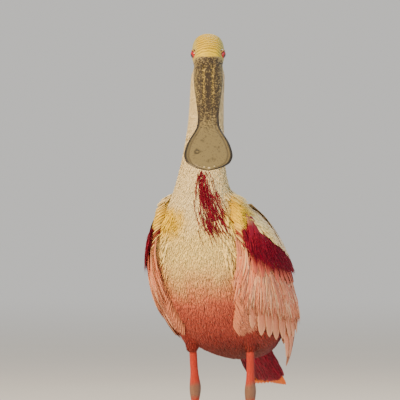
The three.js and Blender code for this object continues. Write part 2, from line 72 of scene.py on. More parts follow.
# The eyes' boxes say where the CAD put the bird.
eyeBoxes = [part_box("eye_left"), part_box("eye_right")]
eyesMiddle = np.mean([np.array(corner) for box in eyeBoxes for corner in box], axis=0) * 1000
eyeInSkull = np.array([0.0, -pose["eye"]["forward"], pose["eye"]["up"]])
skullPlace = eyesMiddle - turnedX(eyeInSkull, pose["skullPitch"])
billPlace = skullPlace + pose["billRootFromSkull"]
bodyPlace = skullPlace - turnedZ(pose["skullCentre"], -pose["bodyYaw"])


def fromBody(points):
    return (turnedZ(points, -pose["bodyYaw"]) + bodyPlace) / 1000


def fromSkull(points):
    return (turnedX(points, pose["skullPitch"]) + skullPlace) / 1000


def fromBill(points):
    return (turnedX(points, pose["billPitch"]) + billPlace) / 1000


def toSkull(points):
    return turnedX(np.asarray(points) * 1000 - skullPlace, -pose["skullPitch"])


def toBody(points):
    return turnedZ(np.asarray(points) * 1000 - bodyPlace, pose["bodyYaw"])


def linear(hexColour):
    parts = np.array([int(hexColour[i:i + 2], 16) for i in (1, 3, 5)]) / 255
    return np.where(parts <= 0.04045, parts / 12.92, ((parts + 0.055) / 1.055) ** 2.4)


def smooth(value, low, high):
    share = np.clip((value - low) / (high - low), 0, 1)
    return share * share * (3 - 2 * share)


def mixed(first, second, share):
    share = np.asarray(share)[..., None]
    return first * (1 - share) + second * share


# large odd numbers that scramble a grid's corners into random values
scramble = {"axes": np.array([374761393, 668265263, 2147483647]), "seed": 40503, "last": 1274126177}


def softNoise(points, size, seed):
    # smooth random values from -1 to 1, changing over the given size
    cell = np.asarray(points) / size
    low = np.floor(cell).astype(np.int64)
    part = cell - low
    part = part * part * (3 - 2 * part)
    total = np.zeros(cell.shape[:-1])
    for corner in range(8):
        step = np.array([corner & 1, corner >> 1 & 1, corner >> 2 & 1])
        grid = low + step
        mess = grid @ scramble["axes"] + seed * scramble["seed"]
        mess = (mess ^ (mess >> 13)) * scramble["last"]
        value = ((mess ^ (mess >> 16)) & 0xFFFF) / 32767.5 - 1
        total += value * np.prod(np.where(step, part, 1 - part), axis=-1)
    return total


class Loft:
    # A body of elliptical sections along a smooth line: x, y, z and the radii to the side, back and front.
    def __init__(self, stations):
        rows = np.array(stations, float)
        self.rows = np.vstack([2 * rows[0] - rows[1], rows, 2 * rows[-1] - rows[-2]])
        self.count = len(rows)
        self.shares = np.linspace(0, 1, 801)
        line = self.sample(self.shares)[0][:, :3]
        steps = np.linalg.norm(np.diff(line, axis=0), axis=1)
        self.lengths = np.concatenate([[0], np.cumsum(steps)])

    def sample(self, t):
        x = np.clip(np.asarray(t, float), 0, 1) * (self.count - 1)
        i = np.minimum(x.astype(int), self.count - 2)
        w = (x - i)[..., None]
        p0 = self.rows[i]
        p1 = self.rows[i + 1]
        p2 = self.rows[i + 2]
        p3 = self.rows[i + 3]
        bend = 2 * p0 - 5 * p1 + 4 * p2 - p3
        twist = 3 * p1 - p0 - 3 * p2 + p3
        values = 0.5 * (2 * p1 + (p2 - p0) * w + bend * w ** 2 + twist * w ** 3)
        slopes = 0.5 * ((p2 - p0) + 2 * bend * w + 3 * twist * w ** 2)
        return values, slopes

    def at(self, t, angle, grow=0.0):
        values, slopes = self.sample(t)
        tangent = slopes[..., :3]
        tangent = tangent / np.linalg.norm(tangent, axis=-1, keepdims=True)
        back = np.stack([np.zeros_like(tangent[..., 0]), -tangent[..., 2], tangent[..., 1]], -1)
        back /= np.linalg.norm(back, axis=-1, keepdims=True)
        side = np.cross(tangent, back)
        rise = np.sin(angle)
        depth = np.where(rise > 0, values[..., 4], values[..., 5])
        x = np.cos(angle) * np.maximum(np.maximum(values[..., 3], 0) + grow, 0)
        y = rise * np.maximum(np.maximum(depth, 0) + grow, 0)
        return values[..., :3] + side * x[..., None] + back * y[..., None]

    def shareAt(self, distance):
        return np.interp(distance, self.lengths, self.shares)


bodyLine = Loft([(0, *row) for row in [
    (-39, 521, 0, 0, 0), (-40, 514, 13, 12, 12), (-43, 492, 19.5, 19, 18.5), (-47, 462, 20.5, 19.5, 19.5),
    (-50, 432, 21.5, 20.5, 20.5), (-55, 402, 24.5, 23, 22.5), (-60, 376, 28, 27, 26),
    (-62, 352, 34.5, 35, 32), (-58, 326, 48, 48, 41), (-46, 298, 61, 59, 53), (-26, 268, 71, 67, 64),
    (0, 240, 75, 69, 69), (30, 215, 71, 64, 64), (60, 194, 60, 51, 50), (88, 178, 44, 36, 34),
    (110, 167, 27, 21, 20), (122, 161, 13, 10, 9), (127, 158.5, 0, 0, 0),
]])
# the surface that the folded wings lie on
mantleLine = Loft([(0, *row) for row in [
    (-62, 352, 38.5, 36, 33), (-58, 326, 49.5, 49.5, 42.5), (-46, 298, 62.5, 60.5, 54.5),
    (-26, 268, 72.5, 68.5, 65.5), (0, 240, 76.5, 70.5, 70.5), (30, 215, 74.5, 66, 66), (62, 194, 68, 56, 55),
    (95, 177, 56, 43, 41), (128, 160, 41, 31, 28), (156, 144, 27, 20, 17), (181, 128, 12, 9, 7),
]])
# forward distance, half width, up and down, in the skull's frame
skullStations = [
    (-29, 0, 0, 0), (-26, 11, 8, 8), (-19, 16.8, 15.6, 15), (-9, 19, 19.6, 18), (4, 19.3, 20.8, 18.5),
    (14, 17.4, 19, 17.5), (21, 16.6, 15.8, 15.5), (26, 13, 9, 10), (28.5, 0, 0, 0),
]
# distance from its root, half width, and depth above and below the mouth, in the bill's frame
billStations = [
    (-1, 0, 0, 0), (0, 16.4, 12, 11), (10, 16.7, 11.6, 10.5), (31, 17.2, 9, 8.2), (56, 15, 6, 5.6),
    (76, 13, 4.2, 4), (88, 12.4, 3.4, 3.3), (104, 14.2, 2.8, 2.8), (123, 23, 2.4, 2.4),
    (134, 26.5, 2.3, 2.3), (144, 28.2, 2.3, 2.2), (151, 27.3, 2.2, 2.1), (158, 23.6, 2, 2),
    (164.5, 13.5, 1.8, 1.8), (168.5, 0, 0, 0),
]
billLength = billStations[-1][0]
clawLength = 9
legPlans = {
    "left": {"x": 36, "hip": -6, "knee": 3, "ankle": 3, "foot": -3, "ankleHeight": 113},
    "right": {"x": -36, "hip": -12, "knee": -5, "ankle": 5, "foot": 2, "ankleHeight": 116},
}
toePlans = {
    "inner": {"turn": 27, "length": 58, "thickness": 4.2},
    "middle": {"turn": 0, "length": 79, "thickness": 4.5},
    "outer": {"turn": -29, "length": 68, "thickness": 4.3},
    "hind": {"turn": 172, "length": 30, "thickness": 3.8},
}


def legLine(leg):
    z = leg["ankleHeight"]
    top = 176
    # height, half width and half depth, from inside the thigh down to the floor
    sections = [
        (top + 2, 0, 0), (top, 3.5, 3.5), (162, 4.6, 4.8), (z + 20, 4.9, 5.3), (z + 9, 5.9, 6.6),
        (z, 6.9, 7.8), (z - 10, 6, 7), (z - 20, 4.3, 5.1), (z - 45, 3.9, 4.7), (40, 4, 4.7), (24, 4.8, 5.4),
        (13, 6.4, 6.6), (6, 7.2, 8.4), (1, 5, 6), (0.5, 0, 0),
    ]

    def lean(h):
        if h > z:
            return leg["ankle"] + (leg["knee"] - leg["ankle"]) * (h - z) / (top - z)
        return leg["foot"] + (leg["ankle"] - leg["foot"]) * h / z

    return Loft([(leg["x"], lean(h), h, side, depth, depth) for h, side, depth in sections])


def thighLine(leg):
    x = leg["x"]
    hip = leg["hip"]
    knee = leg["knee"]
    return Loft([
        (x * 0.9, hip, 232, 0, 0, 0), (x * 0.92, hip, 228, 12, 14, 14), (x * 0.96, hip, 205, 20, 25, 25),
        (x, hip * 0.6 + knee * 0.4, 186, 14, 17, 17), (x, knee, 170, 8.8, 9.8, 9.8),
        (x, knee, 160.5, 6.2, 6.6, 6.6), (x, knee, 158, 0, 0, 0),
    ])


def toeLine(toe):
    r = toe["thickness"]
    joints = []
    for i in range(7):
        share = (i + 0.7) / 7
        radius = r * (1 if i % 2 else 0.86) * (1 - 0.22 * share)
        joints.append((0, -toe["length"] * share, radius * 0.82, radius, radius, radius))
    return Loft([(0, 2, r, 0, 0, 0), (0, 0, r, r, r, r), *joints, (0, -toe["length"], r * 0.55, 0, 0, 0)])


def clawLine(toe):
    r = toe["thickness"] * 0.46
    return Loft([
        (0, 0.5, r + 0.6, 0, 0, 0), (0, 0, r + 0.6, r, r, r),
        (0, -clawLength * 0.4, r + 0.6, r * 0.85, r * 0.85, r * 0.85),
        (0, -clawLength * 0.75, r + 0.1, r * 0.55, r * 0.55, r * 0.55), (0, -clawLength, 0.9, 0, 0, 0),
    ])


def fromToe(points, leg, toe):
    # a toe is shaped pointing ahead, then turned outwards and set under its leg
    side = math.copysign(1, leg["x"])
    return turnedZ(points, math.radians(side * toe["turn"])) + np.array([leg["x"], leg["foot"], 0])


print("lines and sizes ready")


def meshPiece(name, points, faces, material, uv=None, colours=None, maps=None):
    # one object from arrays: faces is a list of index arrays, all with three or four corners a face
    mesh = bpy.data.meshes.new(name)
    mesh.vertices.add(len(points))
    mesh.vertices.foreach_set("co", np.asarray(points, np.float32).ravel())
    corners = np.concatenate([np.asarray(f).ravel() for f in faces]).astype(np.int32)
    sizes = np.concatenate([np.full(len(f), np.asarray(f).shape[1]) for f in faces])
    starts = np.concatenate([[0], np.cumsum(sizes)[:-1]]).astype(np.int32)
    mesh.loops.add(len(corners))
    mesh.loops.foreach_set("vertex_index", corners)
    mesh.polygons.add(len(sizes))
    mesh.polygons.foreach_set("loop_start", starts)
    mesh.polygons.foreach_set("use_smooth", np.ones(len(sizes), bool))
    if uv is not None:
        layer = mesh.uv_layers.new(name="OFBake")
        layer.uv.foreach_set("vector", np.asarray(uv, np.float32)[corners].ravel())
    for label, values in (colours or {}).items():
        layer = mesh.color_attributes.new(label, "FLOAT_COLOR", "POINT")
        full = np.ones((len(points), 4), np.float32)
        full[:, :3] = values
        layer.data.foreach_set("color", full.ravel())
    for label, values in (maps or {}).items():
        layer = mesh.attributes.new(label, "FLOAT", "POINT")
        layer.data.foreach_set("value", np.asarray(values, np.float32).ravel())
    mesh.update(calc_edges=True)
    mesh.materials.append(material)
    piece = bpy.data.objects.new(name, mesh)
    bpy.context.collection.objects.link(piece)
    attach(piece, "root")
    return piece


def closedBody(first, rings, last):
    # a closed body: one pole, rings of points, another pole
    rows, sides = rings.shape[:2]
    ring = 1 + np.arange(rows)[:, None] * sides + np.arange(sides)[None]
    after = np.roll(ring, -1, axis=1)
    quads = np.stack([ring[:-1], after[:-1], after[1:], ring[1:]], -1).reshape(-1, 4)
    end = 1 + rows * sides
    start = np.stack([np.zeros(sides, int), after[0], ring[0]], -1)
    close = np.stack([ring[-1], after[-1], np.full(sides, end)], -1)
    points = np.concatenate([first[None], rings.reshape(-1, 3), last[None]])
    return points, [quads, np.concatenate([start, close])]


def closedLoft(line, sides, rows, inset=0.0):
    t = np.linspace(0, 1, rows + 2)
    angle = np.linspace(0, 2 * np.pi, sides, endpoint=False)
    depth = inset(t[1:-1])[:, None] if callable(inset) else inset
    rings = line.at(t[1:-1, None], angle[None], -depth)
    ends = line.at(t[[0, -1]], np.zeros(2), -1000.0)
    return closedBody(ends[0], rings, ends[1])


def flipped(faces):
    return [f[:, ::-1] for f in faces]


def mirrorImage(points, faces):
    return points * np.array([-1.0, 1.0, 1.0]), flipped(faces)


def stacked(parts):
    points = []
    faces = []
    base = 0
    for partPoints, partFaces in parts:
        points.append(partPoints)
        faces += [np.asarray(f) + base for f in partFaces]
        base += len(partPoints)
    return np.concatenate(points), faces


# Materials
def addNode(tree, kind, settings=None, inputs=None):
    node = tree.nodes.new(kind)
    for key, value in (settings or {}).items():
        setattr(node, key, value)
    for key, value in (inputs or {}).items():
        if isinstance(value, bpy.types.NodeSocket):
            tree.links.new(value, node.inputs[key])
        else:
            node.inputs[key].default_value = value
    return node


def newMaterial(name, settings):
    # gives the shader to link to, and the place on the surface in metres of object space
    material = bpy.data.materials.new(name)
    material.use_nodes = True
    tree = material.node_tree
    shader = tree.nodes["Principled BSDF"]
    for key, value in settings.items():
        shader.inputs[key].default_value = value
    place = addNode(tree, "ShaderNodeTexCoord").outputs["Object"]
    return material, tree, shader, place


def spotScale(millimetres):
    # a noise texture's scale that gives features about this far apart, in metres of object space
    return 1000 / millimetres


def bandScale(millimetres):
    # a wave texture's scale that gives bands this far apart: its wave turns 20 radians in a unit
    return spotScale(millimetres) * 2 * math.pi / 20


def rgba(hexColour):
    return (*linear(hexColour), 1)


multiplied = {"data_type": "RGBA", "blend_type": "MULTIPLY"}


def plumageMaterial(name, fleckSize, roughness, sheen, barbSpacing=None):
    # feather: keratin vanes of fine barbs, dull, soft at the edges, with a faint sheen
    material, tree, shader, place = newMaterial(name, {
        "Roughness": roughness, "IOR": 1.54, "Sheen Weight": sheen, "Sheen Roughness": 0.5,
        "Specular IOR Level": 0.18,
    })
    tint = addNode(tree, "ShaderNodeAttribute", {"attribute_name": "plume"})
    fleck = addNode(tree, "ShaderNodeTexNoise", inputs={
        "Vector": place, "Scale": spotScale(fleckSize), "Detail": 3.0,
    })
    shade = addNode(tree, "ShaderNodeMapRange", inputs={
        "Value": fleck.outputs["Fac"], "From Min": 0.3, "From Max": 0.7, "To Min": 0.86, "To Max": 1.1,
    })
    colour = addNode(tree, "ShaderNodeMix", multiplied, {
        "Factor": 1.0, "A": tint.outputs["Color"], "B": shade.outputs["Result"],
    })
    height = fleck.outputs["Fac"]
    if barbSpacing:
        # barbs slant out from the shaft; real ones lie about 0.3 mm apart, these wider so that they show
        reach = addNode(tree, "ShaderNodeAttribute", {"attribute_name": "barb"})
        turns = addNode(tree, "ShaderNodeMath", {"operation": "MULTIPLY"}, {
            0: reach.outputs["Fac"], 1: 2 * math.pi / barbSpacing,
        })
        wave = addNode(tree, "ShaderNodeMath", {"operation": "SINE"}, {0: turns.outputs["Value"]})
        ribs = addNode(tree, "ShaderNodeMapRange", inputs={
            "Value": wave.outputs["Value"], "From Min": -1.0, "From Max": 1.0, "To Min": 0.86, "To Max": 1.05,
        })
        colour = addNode(tree, "ShaderNodeMix", multiplied, {
            "Factor": 1.0, "A": colour.outputs["Result"], "B": ribs.outputs["Result"],
        })
        height = ribs.outputs["Result"]
    tree.links.new(colour.outputs["Result"], shader.inputs["Base Color"])
    bump = addNode(tree, "ShaderNodeBump", inputs={"Height": height, "Strength": 0.25, "Distance": 0.0004})
    tree.links.new(bump.outputs["Normal"], shader.inputs["Normal"])
    return material


def skinMaterial():
    # bare skin and scaly legs: dry, slightly waxy, creased across the crown
    material, tree, shader, place = newMaterial("bareSkin", {
        "Roughness": 0.52, "IOR": 1.45, "Specular IOR Level": 0.4,
    })
    tint = addNode(tree, "ShaderNodeAttribute", {"attribute_name": "skin"})
    crease = addNode(tree, "ShaderNodeAttribute", {"attribute_name": "crease"})
    scale = addNode(tree, "ShaderNodeAttribute", {"attribute_name": "scale"})
    # creases 3.7 mm apart run across the crown, turned with the skull's pitch
    turned = addNode(tree, "ShaderNodeMapping", {"vector_type": "POINT"}, {
        "Vector": place, "Rotation": (-pose["skullPitch"], 0, 0),
    })
    folds = addNode(tree, "ShaderNodeTexWave", {"bands_direction": "Y"}, {
        "Vector": turned.outputs["Vector"], "Scale": bandScale(3.730641), "Distortion": 5.0, "Detail": 3.0,
        "Detail Scale": 1.6,
    })
    grain = addNode(tree, "ShaderNodeTexNoise", inputs={
        "Vector": place, "Scale": spotScale(1.6), "Detail": 4.0,
    })
    # leg scales about 2.4 mm across
    plates = addNode(tree, "ShaderNodeTexVoronoi", {"feature": "DISTANCE_TO_EDGE"}, {
        "Vector": place, "Scale": spotScale(2.4),
    })
    platesCut = addNode(tree, "ShaderNodeMapRange", inputs={
        "Value": plates.outputs["Distance"], "From Min": 0.0, "From Max": 0.12, "To Min": 0.0, "To Max": 1.0,
    })
    creased = addNode(tree, "ShaderNodeMath", {"operation": "MULTIPLY"}, {
        0: folds.outputs["Fac"], 1: crease.outputs["Fac"],
    })
    scaled = addNode(tree, "ShaderNodeMath", {"operation": "MULTIPLY"}, {
        0: platesCut.outputs["Result"], 1: scale.outputs["Fac"],
    })
    relief = addNode(tree, "ShaderNodeMath", {"operation": "ADD"}, {
        0: creased.outputs["Value"], 1: scaled.outputs["Value"],
    })
    height = addNode(tree, "ShaderNodeMath", {"operation": "MULTIPLY_ADD"}, {
        0: grain.outputs["Fac"], 1: 0.35, 2: relief.outputs["Value"],
    })
    shade = addNode(tree, "ShaderNodeMapRange", inputs={
        "Value": height.outputs["Value"], "From Min": 0.0, "From Max": 1.0, "To Min": 0.8, "To Max": 1.1,
    })
    colour = addNode(tree, "ShaderNodeMix", multiplied, {
        "Factor": 1.0, "A": tint.outputs["Color"], "B": shade.outputs["Result"],
    })
    # painted shade: the bottoms of the creases are darker
    creaseShade = addNode(tree, "ShaderNodeMapRange", inputs={
        "Value": folds.outputs["Fac"], "From Min": 0.05, "From Max": 0.32, "To Min": 0.52, "To Max": 1.0,
    })
    creaseShadedColour = addNode(tree, "ShaderNodeMix", multiplied, {
        "Factor": crease.outputs["Fac"], "A": colour.outputs["Result"], "B": creaseShade.outputs["Result"],
    })
    tree.links.new(creaseShadedColour.outputs["Result"], shader.inputs["Base Color"])
    bump = addNode(tree, "ShaderNodeBump", inputs={
        "Height": height.outputs["Value"], "Strength": 0.75, "Distance": 0.0007,
    })
    tree.links.new(bump.outputs["Normal"], shader.inputs["Normal"])
    return material


def hornMaterial():
    # keratin over the bill bone: satin, worn smooth on the spoon, pitted and mottled towards the root
    material, tree, shader, place = newMaterial("billHorn", {
        "Roughness": 0.42, "IOR": 1.54, "Specular IOR Level": 0.45,
    })
    tint = addNode(tree, "ShaderNodeAttribute", {"attribute_name": "horn"})
    density = addNode(tree, "ShaderNodeAttribute", {"attribute_name": "mottle"})
    blots = addNode(tree, "ShaderNodeTexNoise", inputs={
        "Vector": place, "Scale": spotScale(1.9), "Detail": 5.0, "Roughness": 0.72,
    })
    spread = addNode(tree, "ShaderNodeMath", {"operation": "ADD"}, {
        0: blots.outputs["Fac"], 1: density.outputs["Fac"],
    })
    dark = addNode(tree, "ShaderNodeMapRange", inputs={
        "Value": spread.outputs["Value"], "From Min": 0.94, "From Max": 1.03, "To Min": 0.0, "To Max": 0.95,
    })
    brown = addNode(tree, "ShaderNodeMix", {"data_type": "RGBA"}, {
        "Factor": dark.outputs["Result"], "A": tint.outputs["Color"], "B": rgba("#20150d"),
    })
    tree.links.new(brown.outputs["Result"], shader.inputs["Base Color"])
    grain = addNode(tree, "ShaderNodeTexNoise", inputs={
        "Vector": place, "Scale": spotScale(1.3), "Detail": 3.0,
    })
    relief = addNode(tree, "ShaderNodeMath", {"operation": "MULTIPLY_ADD"}, {
        0: dark.outputs["Result"], 1: -0.6, 2: grain.outputs["Fac"],
    })
    bump = addNode(tree, "ShaderNodeBump", inputs={
        "Height": relief.outputs["Value"], "Strength": 0.35, "Distance": 0.0004,
    })
    tree.links.new(bump.outputs["Normal"], shader.inputs["Normal"])
    return material


def plainHorn(name, hexColour, roughness, size):
    # claws and bill nodules: solid keratin with faint growth streaks
    material, tree, shader, place = newMaterial(name, {"Roughness": roughness, "IOR": 1.54})
    streak = addNode(tree, "ShaderNodeTexNoise", inputs={
        "Vector": place, "Scale": spotScale(size), "Detail": 3.0,
    })
    colours = addNode(tree, "ShaderNodeMix", {"data_type": "RGBA"}, {
        "Factor": streak.outputs["Fac"], "A": rgba(hexColour), "B": (*linear(hexColour) * 0.6, 1),
    })
    tree.links.new(colours.outputs["Result"], shader.inputs["Base Color"])
    return material


def eyeMaterial():
    # eyeball: carmine iris with fine flecks under a wet, clear cornea
    material, tree, shader, place = newMaterial("wetEye", {
        "Roughness": 0.12, "IOR": 1.38, "Coat Weight": 1.0, "Coat Roughness": 0.03, "Coat IOR": 1.38,
    })
    tint = addNode(tree, "ShaderNodeAttribute", {"attribute_name": "iris"})
    fleck = addNode(tree, "ShaderNodeTexNoise", inputs={
        "Vector": place, "Scale": spotScale(0.7), "Detail": 2.0,
    })
    shade = addNode(tree, "ShaderNodeMapRange", inputs={
        "Value": fleck.outputs["Fac"], "To Min": 0.7, "To Max": 1.25,
    })
    colour = addNode(tree, "ShaderNodeMix", multiplied, {
        "Factor": 1.0, "A": tint.outputs["Color"], "B": shade.outputs["Result"],
    })
    tree.links.new(colour.outputs["Result"], shader.inputs["Base Color"])
    return material


softPlumage = plumageMaterial("contourFeather", 2.2, 0.85, 0.06)
longPlumage = plumageMaterial("flightFeather", 1.4, 0.65, 0.05, barbSpacing=1.4)
silkPlumage = plumageMaterial("silkyPlume", 1.2, 0.6, 0.0)
bareSkin = skinMaterial()
billHorn = hornMaterial()
clawHorn = plainHorn("clawHorn", "#3b2d28", 0.35, 1.5)
noduleHorn = plainHorn("noduleHorn", "#d8d0b4", 0.4, 1.5)
wetEye = eyeMaterial()
print("materials ready")

# How deep the coat is over the skin, by the body line's station.
coatDepth = {
    "station": [0, 2, 3, 6, 7, 8, 10, 14, 17], "depth": [0.6, 0.8, 2.2, 2.6, 3.4, 4.6, 5.0, 4.4, 2.0],
}


def bodyInset(t):
    return np.interp(np.asarray(t) * (bodyLine.count - 1), coatDepth["station"], coatDepth["depth"])


plumageTones = {
    "neckWhite": linear("#faecbc"), "cream": linear("#fde698"), "gold": linear("#efca14"),
    "salmon": linear("#d6735a"), "rust": linear("#a43833"), "bellyShade": linear("#66211e"),
    "backWhite": linear("#f3e0ba"), "backPink": linear("#e6a58f"), "rump": linear("#701c2a"),
    "palePink": linear("#d98a6c"), "vaneEdge": linear("#f0caa4"), "rosePink": linear("#c85c4e"),
    "carmine": linear("#8c002c"), "deepCarmine": linear("#4e001a"), "orange": linear("#dc6a20"),
}


# gold patches by the bends of the wings, seen from the front: middle, half width and half height
goldPatches = [
    {"x": -66, "z": 314, "width": 23, "height": 22}, {"x": 21, "z": 321, "width": 21, "height": 23},
]
coatSeed = 3  # the skin and the feathers on it share one pattern


def bodyColour(points, seed):
    # plumage colour by place on the body, for feathers and for the skin under them alike
    x, y, z = np.moveaxis(points, -1, 0)
    patch = softNoise(points, 26, seed) * 9 + softNoise(points, 9, seed + 1) * 5
    level = z + patch
    tone = plumageTones
    front = mixed(tone["cream"], tone["neckWhite"], smooth(level, 286, 340))
    front = mixed(tone["salmon"], front, smooth(level, 212, 276))
    front = mixed(tone["rust"], front, smooth(level, 166, 232))
    # painted shade: the lowest part of the belly darkens to a deep reddish brown
    front = mixed(tone["bellyShade"], front, smooth(level, 148, 192))
    back = mixed(tone["backPink"], tone["backWhite"], smooth(level, 236, 300))
    back = mixed(tone["rump"], back, smooth(level, 186, 222))
    turned = smooth(y + 0.55 * (z - 300) + patch, -42, -6)
    colour = mixed(front, back, turned * smooth(y, -60, -30))
    across = x * math.cos(pose["bodyYaw"]) + y * math.sin(pose["bodyYaw"])
    for spot in goldPatches:
        away = np.hypot((across - spot["x"]) / spot["width"], (z - spot["z"]) / spot["height"])
        away = away + softNoise(points, 7, seed + 5) * 0.25
        colour = mixed(colour, tone["gold"], 0.96 * smooth(-away, -1.25, -0.4) * smooth(-y, -5, 20))
    return colour


# the carmine band on the folded wing: its two edges in degrees by distance, and where it begins
carmineBand = {
    "topAt": [20, 30, 52, 90, 125, 150], "top": [-16, -8, 9, 28, 47, 56],
    "bottomAt": [20, 30, 52, 60, 72, 90, 125, 150], "bottom": [-22, -26, -32, -21, -9, 7, 31, 46],
    "front": (35, 42),
}


def carmineShare(distance, degrees):
    # 1 inside the band, by distance and angle on the mantle
    top = np.interp(distance, carmineBand["topAt"], carmineBand["top"])
    bottom = np.interp(distance, carmineBand["bottomAt"], carmineBand["bottom"])
    share = smooth(distance, *carmineBand["front"]) * smooth(degrees, bottom - 3, bottom + 1)
    return share * smooth(-degrees, -top - 1, -top + 3)


def skinParts():
    body = closedLoft(bodyLine, 120, 200, bodyInset)
    parts = [(fromBody(body[0]), body[1])]
    for leg in legPlans.values():
        for line, inset, sides, rows in ((thighLine(leg), 2.5, 40, 60), (legLine(leg), 0.0, 32, 150)):
            points, faces = closedLoft(line, sides, rows, inset)
            parts.append((fromBody(points), faces))
        for toe in toePlans.values():
            points, faces = closedLoft(toeLine(toe), 20, 70)
            points = fromToe(points, leg, toe)
            points[:, 2] = np.maximum(points[:, 2], 0.0)
            parts.append((fromBody(points), faces))
        for first, second in (("inner", "middle"), ("middle", "outer")):
            parts.append(webPart(leg, toePlans[first], toePlans[second]))
    return parts


def webPart(leg, first, second):
    # the skin between two toes, scooped out in front
    side = math.copysign(1, leg["x"])
    rows = np.linspace(0, 1, 14)
    columns = np.linspace(-1, 1, 16)
    along, across = np.meshgrid(rows, columns, indexing="ij")
    share = (across + 1) / 2
    turns = [math.radians(side * toe["turn"]) for toe in (first, second)]
    angle = turns[0] + (turns[1] - turns[0]) * share
    reach = (first["length"] + (second["length"] - first["length"]) * share) * 0.45
    reach = 4 + reach * along * (1 - 0.42 * (1 - across ** 2))
    x = leg["x"] + np.sin(angle) * reach
    y = leg["foot"] - np.cos(angle) * reach
    layers = [np.stack([x, y, np.full_like(x, height)], -1).reshape(-1, 3) for height in (1.4, 3.4)]
    return fromBody(np.concatenate(layers)), slabFaces(len(rows), len(columns), 1, False)


def slabFaces(rows, columns, count, flip):
    # closed slabs: a lower and an upper grid of rows by columns each, joined round their rims
    grid = np.arange(rows * columns).reshape(rows, columns)
    low = grid
    high = grid + rows * columns
    top = np.stack([high[:-1, :-1], high[:-1, 1:], high[1:, 1:], high[1:, :-1]], -1).reshape(-1, 4)
    bottom = np.stack([low[:-1, :-1], low[1:, :-1], low[1:, 1:], low[:-1, 1:]], -1).reshape(-1, 4)
    rim = np.concatenate([grid[0, :-1], grid[:-1, -1], grid[-1, :0:-1], grid[:0:-1, 0]])
    after = np.roll(rim, -1)
    sides = np.stack([rim, after, after + rows * columns, rim + rows * columns], -1)
    quads = np.concatenate([top, bottom, sides])
    if flip:
        quads = quads[:, ::-1]
    step = 2 * rows * columns
    return [(quads[None] + (np.arange(count) * step)[:, None, None]).reshape(-1, 4)]


def skullPart():
    line = Loft([(0, -d, 0, w, up, down) for d, w, up, down in skullStations])
    t = np.linspace(0, 1, 92)[:, None]
    angle = np.linspace(0, 2 * np.pi, 96, endpoint=False)[None]
    values, _ = line.sample(t)
    rise = np.sin(angle)
    depth = np.where(rise > 0, values[..., 4], values[..., 5])
    x = np.cos(angle) * np.maximum(values[..., 3], 0)
    z = rise * np.maximum(depth, 0)
    grid = np.stack([x, values[..., 1] + 0 * x, z], -1)
    points, faces = closedBody(grid[0, 0], grid[1:-1], grid[-1, 0])
    return fromSkull(points), faces


skinLook = {
    "voxel": 0.0017,  # metres
    "crown": linear("#c9ac10"), "brow": linear("#d6bd08"), "cheek": linear("#b9b05c"),
    "nape": linear("#221b17"), "throat": linear("#cbb27a"), "edge": linear("#a8a070"),
    "leg": linear("#ab3325"), "ankle": linear("#7c5c4e"), "foot": linear("#79382f"),
    "ear": {"forward": -13, "up": -3.5, "halfLength": 1.5, "halfHeight": 2.3},
}


